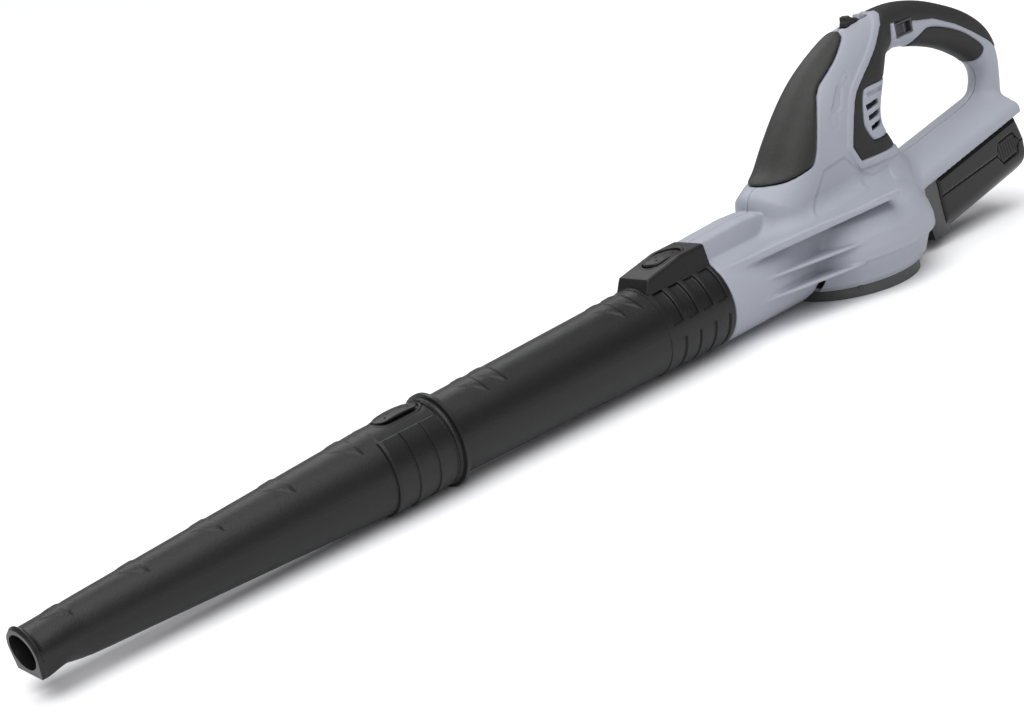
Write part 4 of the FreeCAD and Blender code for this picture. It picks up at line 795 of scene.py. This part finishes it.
def nozzle_skin(x, angle):
    """Outer place of the nozzle, its socket and its mouth."""
    radius = np.interp(x, (-300, -SOCKET_LENGTH, -SOCKET_LENGTH + 1), (19.5, 31.6, 31.9))
    around = np.degrees(np.abs(angle))
    side_band = ramp(around, 36.5, 38)
    for front, end in zip(SHINGLE_FRONTS, (*SHINGLE_FRONTS[1:], SHINGLE_END)):
        share = (x - front) / (end - front)
        on_step = ramp(x, front - 0.25, front + 0.25) * (1 - ramp(x, end - 0.25, end + 0.25))
        radius = radius + on_step * side_band * (1.5 - 0.9 * np.clip(share, 0, 1))
    band = ramp(x, SHINGLE_END - 0.4, SHINGLE_END + 0.4)
    radius = radius + band * (BAND_RADIUS - radius) - 1.0 * np.exp(-((x + 7.6) / 0.8) ** 2)
    bead = ramp(x, -BEAD_WIDTH - 0.5, -BEAD_WIDTH + 0.2) * (1 - ramp(x, -0.7, 0.0))
    radius = radius + bead * (BEAD_RADIUS - radius)
    window = np.hypot(np.maximum(np.abs(x + 30.0) - 10.5, 0), radius * angle) - 8.9
    radius = radius + 0.5 * (1 - ramp(np.abs(window - 1.2), 0.6, 1.2)) * (x < -5)
    radius = radius - 1.4 * (1 - ramp(window, -0.5, 0.1))
    radius = radius + chevrons(x, angle, NOZZLE_MARKS, NOZZLE_MARK_LENGTH, radius)
    radius = radius + 0.15 * np.exp(-((around - 88) / 0.6) ** 2) * (x < -66) * (x > -325)
    # the mouth end flattens to an oval with a rolled lip, square below
    flatten = 1 - ramp(x, -338.0, -292.0)
    wide = 1 + flatten * (20.0 / 18.0 - 1)
    tall = 1 + flatten * (13.6 / 18.0 - 1)
    lip = np.exp(-((x + NOZZLE_LENGTH - 2.4) / 1.6) ** 2) * LIP_RISE
    y = (radius * wide + lip) * np.sin(angle)
    z = (radius * tall + lip) * np.cos(angle) + MOUTH_LIFT * flatten
    foot = (1 - ramp(x, -334.0, -304.0))
    square = np.clip((np.abs(y) - 9) / 9, 0, 1)
    low = np.cos(angle) < -0.25
    z = np.where(low, z + foot * (np.minimum(z, FOOT_HEIGHT) - z), z)
    y = np.where(low, y + foot * np.sign(y) * (FOOT_HALF - np.abs(y)) * square, y)
    return y, z


def nozzle_bore(x, angle):
    """Inner place of the nozzle."""
    radius = np.interp(x, (-300, -45.5, -45.3, 0), (17.3, 28, 30.3, 30.3))
    flatten = 1 - ramp(x, -338.0, -292.0)
    wide = 1 + flatten * (17.6 / 16.6 - 1)
    tall = 1 + flatten * (11.4 / 16.6 - 1)
    return radius * wide * np.sin(angle), radius * tall * np.cos(angle) + MOUTH_LIFT * flatten


nozzle_stations = sorted(
    list(np.arange(-NOZZLE_LENGTH, -298, 0.7)) + list(np.arange(-296, -66, 8.0))
    + [front + offset for front in NOZZLE_MARKS[1:] for offset in np.arange(-3, 21, 0.8)]
    + list(np.arange(-64, -1, 0.7)) + steps_at(*SHINGLE_FRONTS, SHINGLE_END) + [-0.7, -0.3, 0.0])
relief_tube("long_nozzle", nozzle_stations, nozzle_skin,
            ([-330, -320, -310, -300, -180, -45.5, -45.3], nozzle_bore), tube_black,
            "nozzle_end", ["nozzle"])


# ---------------------------------------------------------------- battery pack
# Glossy black pack that slides under the arm: rolled lower edges, a sloped
# rear, and a ribbed six-sided release button on each side.

gloss_black = moulded("battery_gloss", (0.0035, 0.0035, 0.0038), 0.20, 500, 0.10, cloud=0.25,
                      uneven=0.10, wear=0.08)
pack = Lattice((500, -38.5, -48), (650, 38.5, 44), 0.8)
px, py, pz = pack.x, np.abs(pack.y), pack.z
pu, pv = on_battery(px, pz)
PACK_HALF, PACK_EDGE, PACK_TOP, PACK_ROLL = 35.0, 2.0, -0.6, 14.0
BUTTON_U, BUTTON_V, RIDGE_PITCH = 80.0, -20.0, 3.4
pack_outline = np.array([(-12, -0.6), (-14.6, -20), (-17, -44), (-14, -47.6), (70, -48.6),
                         (86, -47), (95, -42.5), (101, -34), (103, -22), (101, -8), (99.6, -0.6)])
pack_side_view = outline_distance(pack_outline, pu[:, 0], pv[:, 0])[:, None, :] + PACK_EDGE
lower_roll = rounded_max(py - PACK_HALF + PACK_EDGE, -pv - 46.6, PACK_ROLL)
pack_body = rounded_max(pack_side_view, py - PACK_HALF + PACK_EDGE, 1.0)
pack_body = np.maximum(pack_body, lower_roll) - PACK_EDGE
pack_body = np.maximum(pack_body, pv - PACK_TOP)
pack_seam = np.abs(pv + 16.0 + 0.05 * pu) - 0.45
pack_body = np.maximum(pack_body, -np.maximum(pack_seam, 34.4 - py))
button_plan = np.maximum(np.abs(pu - BUTTON_U) + 0.55 * np.abs(pv - BUTTON_V) - 15.0,
                         np.abs(pv - BUTTON_V) - 9)
pack_body = np.maximum(pack_body, -np.maximum(button_plan - 0.9, 33.2 - py))
upper_rail = rounded_max(np.abs(pv - 4.2) - 5.0, py - 26.0, 1.0)
upper_rail = np.maximum(upper_rail, np.abs(pu - 50.0) - 58.0)
pack_body = np.minimum(pack_body, upper_rail)
field_piece("battery_pack", pack, pack_body, gloss_black, "battery",
            ["battery_lower_case", "battery_upper_case"])
for side_name, sign in (("left", -1), ("right", 1)):
    ridge = 0.5 * np.cos(2 * math.pi * (pu - BUTTON_U) / RIDGE_PITCH)
    button = rounded_max(button_plan, py - 34.6 - ridge * (np.abs(pv - BUTTON_V) < 6.4), 0.6)
    button = np.maximum(np.maximum(button, 31.5 - py), -sign * pack.y)
    field_piece(side_name + "_pack_button", pack, button, black_plastic,
                "battery_latch_" + side_name, ["battery_button_" + side_name])


# ---------------------------------------------------------------- floor, light and camera
# A pale seamless floor under one very broad sun and two soft lamps; the camera
# stands in front and to the left, a little above.

def surface(name, colour):
    """A plain matt paint."""
    material = bpy.data.materials.new(name)
    material.use_nodes = True
    shader = material.node_tree.nodes["Principled BSDF"]
    shader.inputs["Base Color"].default_value = (*colour, 1)
    shader.inputs["Roughness"].default_value = 0.9
    return material


floor_mesh = bpy.data.meshes.new("floor")
REACH = 12.0
floor_mesh.from_pydata([(-REACH, -REACH, 0), (REACH, -REACH, 0), (REACH, REACH, 0),
                        (-REACH, REACH, 0)], [], [(0, 1, 2, 3)])
floor_mesh.materials.append(surface("floor_white", (0.90, 0.90, 0.91)))
floor = bpy.data.objects.new("floor", floor_mesh)
bpy.context.scene.collection.objects.link(floor)

world = bpy.data.worlds.new("studio")
world.use_nodes = True
world.node_tree.nodes["Background"].inputs["Color"].default_value = (0.95, 0.96, 1.0, 1)
world.node_tree.nodes["Background"].inputs["Strength"].default_value = 0.22
bpy.context.scene.world = world


def lamp(name, place, aim, size, power):
    """A soft rectangular lamp turned towards a point."""
    light = bpy.data.lights.new(name, "AREA")
    light.shape = "RECTANGLE"
    light.size, light.size_y = size
    light.energy = power
    holder = bpy.data.objects.new(name, light)
    holder.location = place
    holder.rotation_euler = (Vector(aim) - Vector(place)).to_track_quat("-Z", "Y").to_euler()
    bpy.context.scene.collection.objects.link(holder)


lamp("left_front", (-0.9, -1.9, 1.2), (0.1, 0.0, 0.1), (1.2, 0.8), 10)
lamp("over_back", (0.4, 1.5, 1.5), (0.1, 0.0, 0.1), (2.0, 0.8), 16)
sky = bpy.data.lights.new("overhead", "SUN")
sky.energy = 3.1
sky.angle = math.radians(70)
sky_holder = bpy.data.objects.new("overhead", sky)
sky_holder.rotation_euler = (math.radians(14), math.radians(-10), 0)
bpy.context.scene.collection.objects.link(sky_holder)
bpy.context.scene.view_settings.view_transform = "Standard"

SENSOR = 36.0
CAMERA_PLACE = (-704.3, -1155.0, 465.28)
CAMERA_FORWARD = (0.53597, 0.79006, -0.29757)
CAMERA_UP = (0.38186, 0.08748, 0.92007)
forward = Vector(np.array(CAMERA_FORWARD) @ TOOL_TURN).normalized()
upward = Vector(np.array(CAMERA_UP) @ TOOL_TURN)
right = forward.cross(upward).normalized()
upward = right.cross(forward)
camera = bpy.data.cameras.new("camera")
camera.sensor_width = SENSOR
camera.lens = SENSOR * 2000 / 1024
camera.clip_end = 50
viewer = bpy.data.objects.new("camera", camera)
viewer.matrix_world = Matrix.Translation(Vector(in_frame([CAMERA_PLACE])[0])) @ Matrix(
    (right, upward, -forward)).transposed().to_4x4()
bpy.context.scene.collection.objects.link(viewer)
bpy.context.scene.camera = viewer
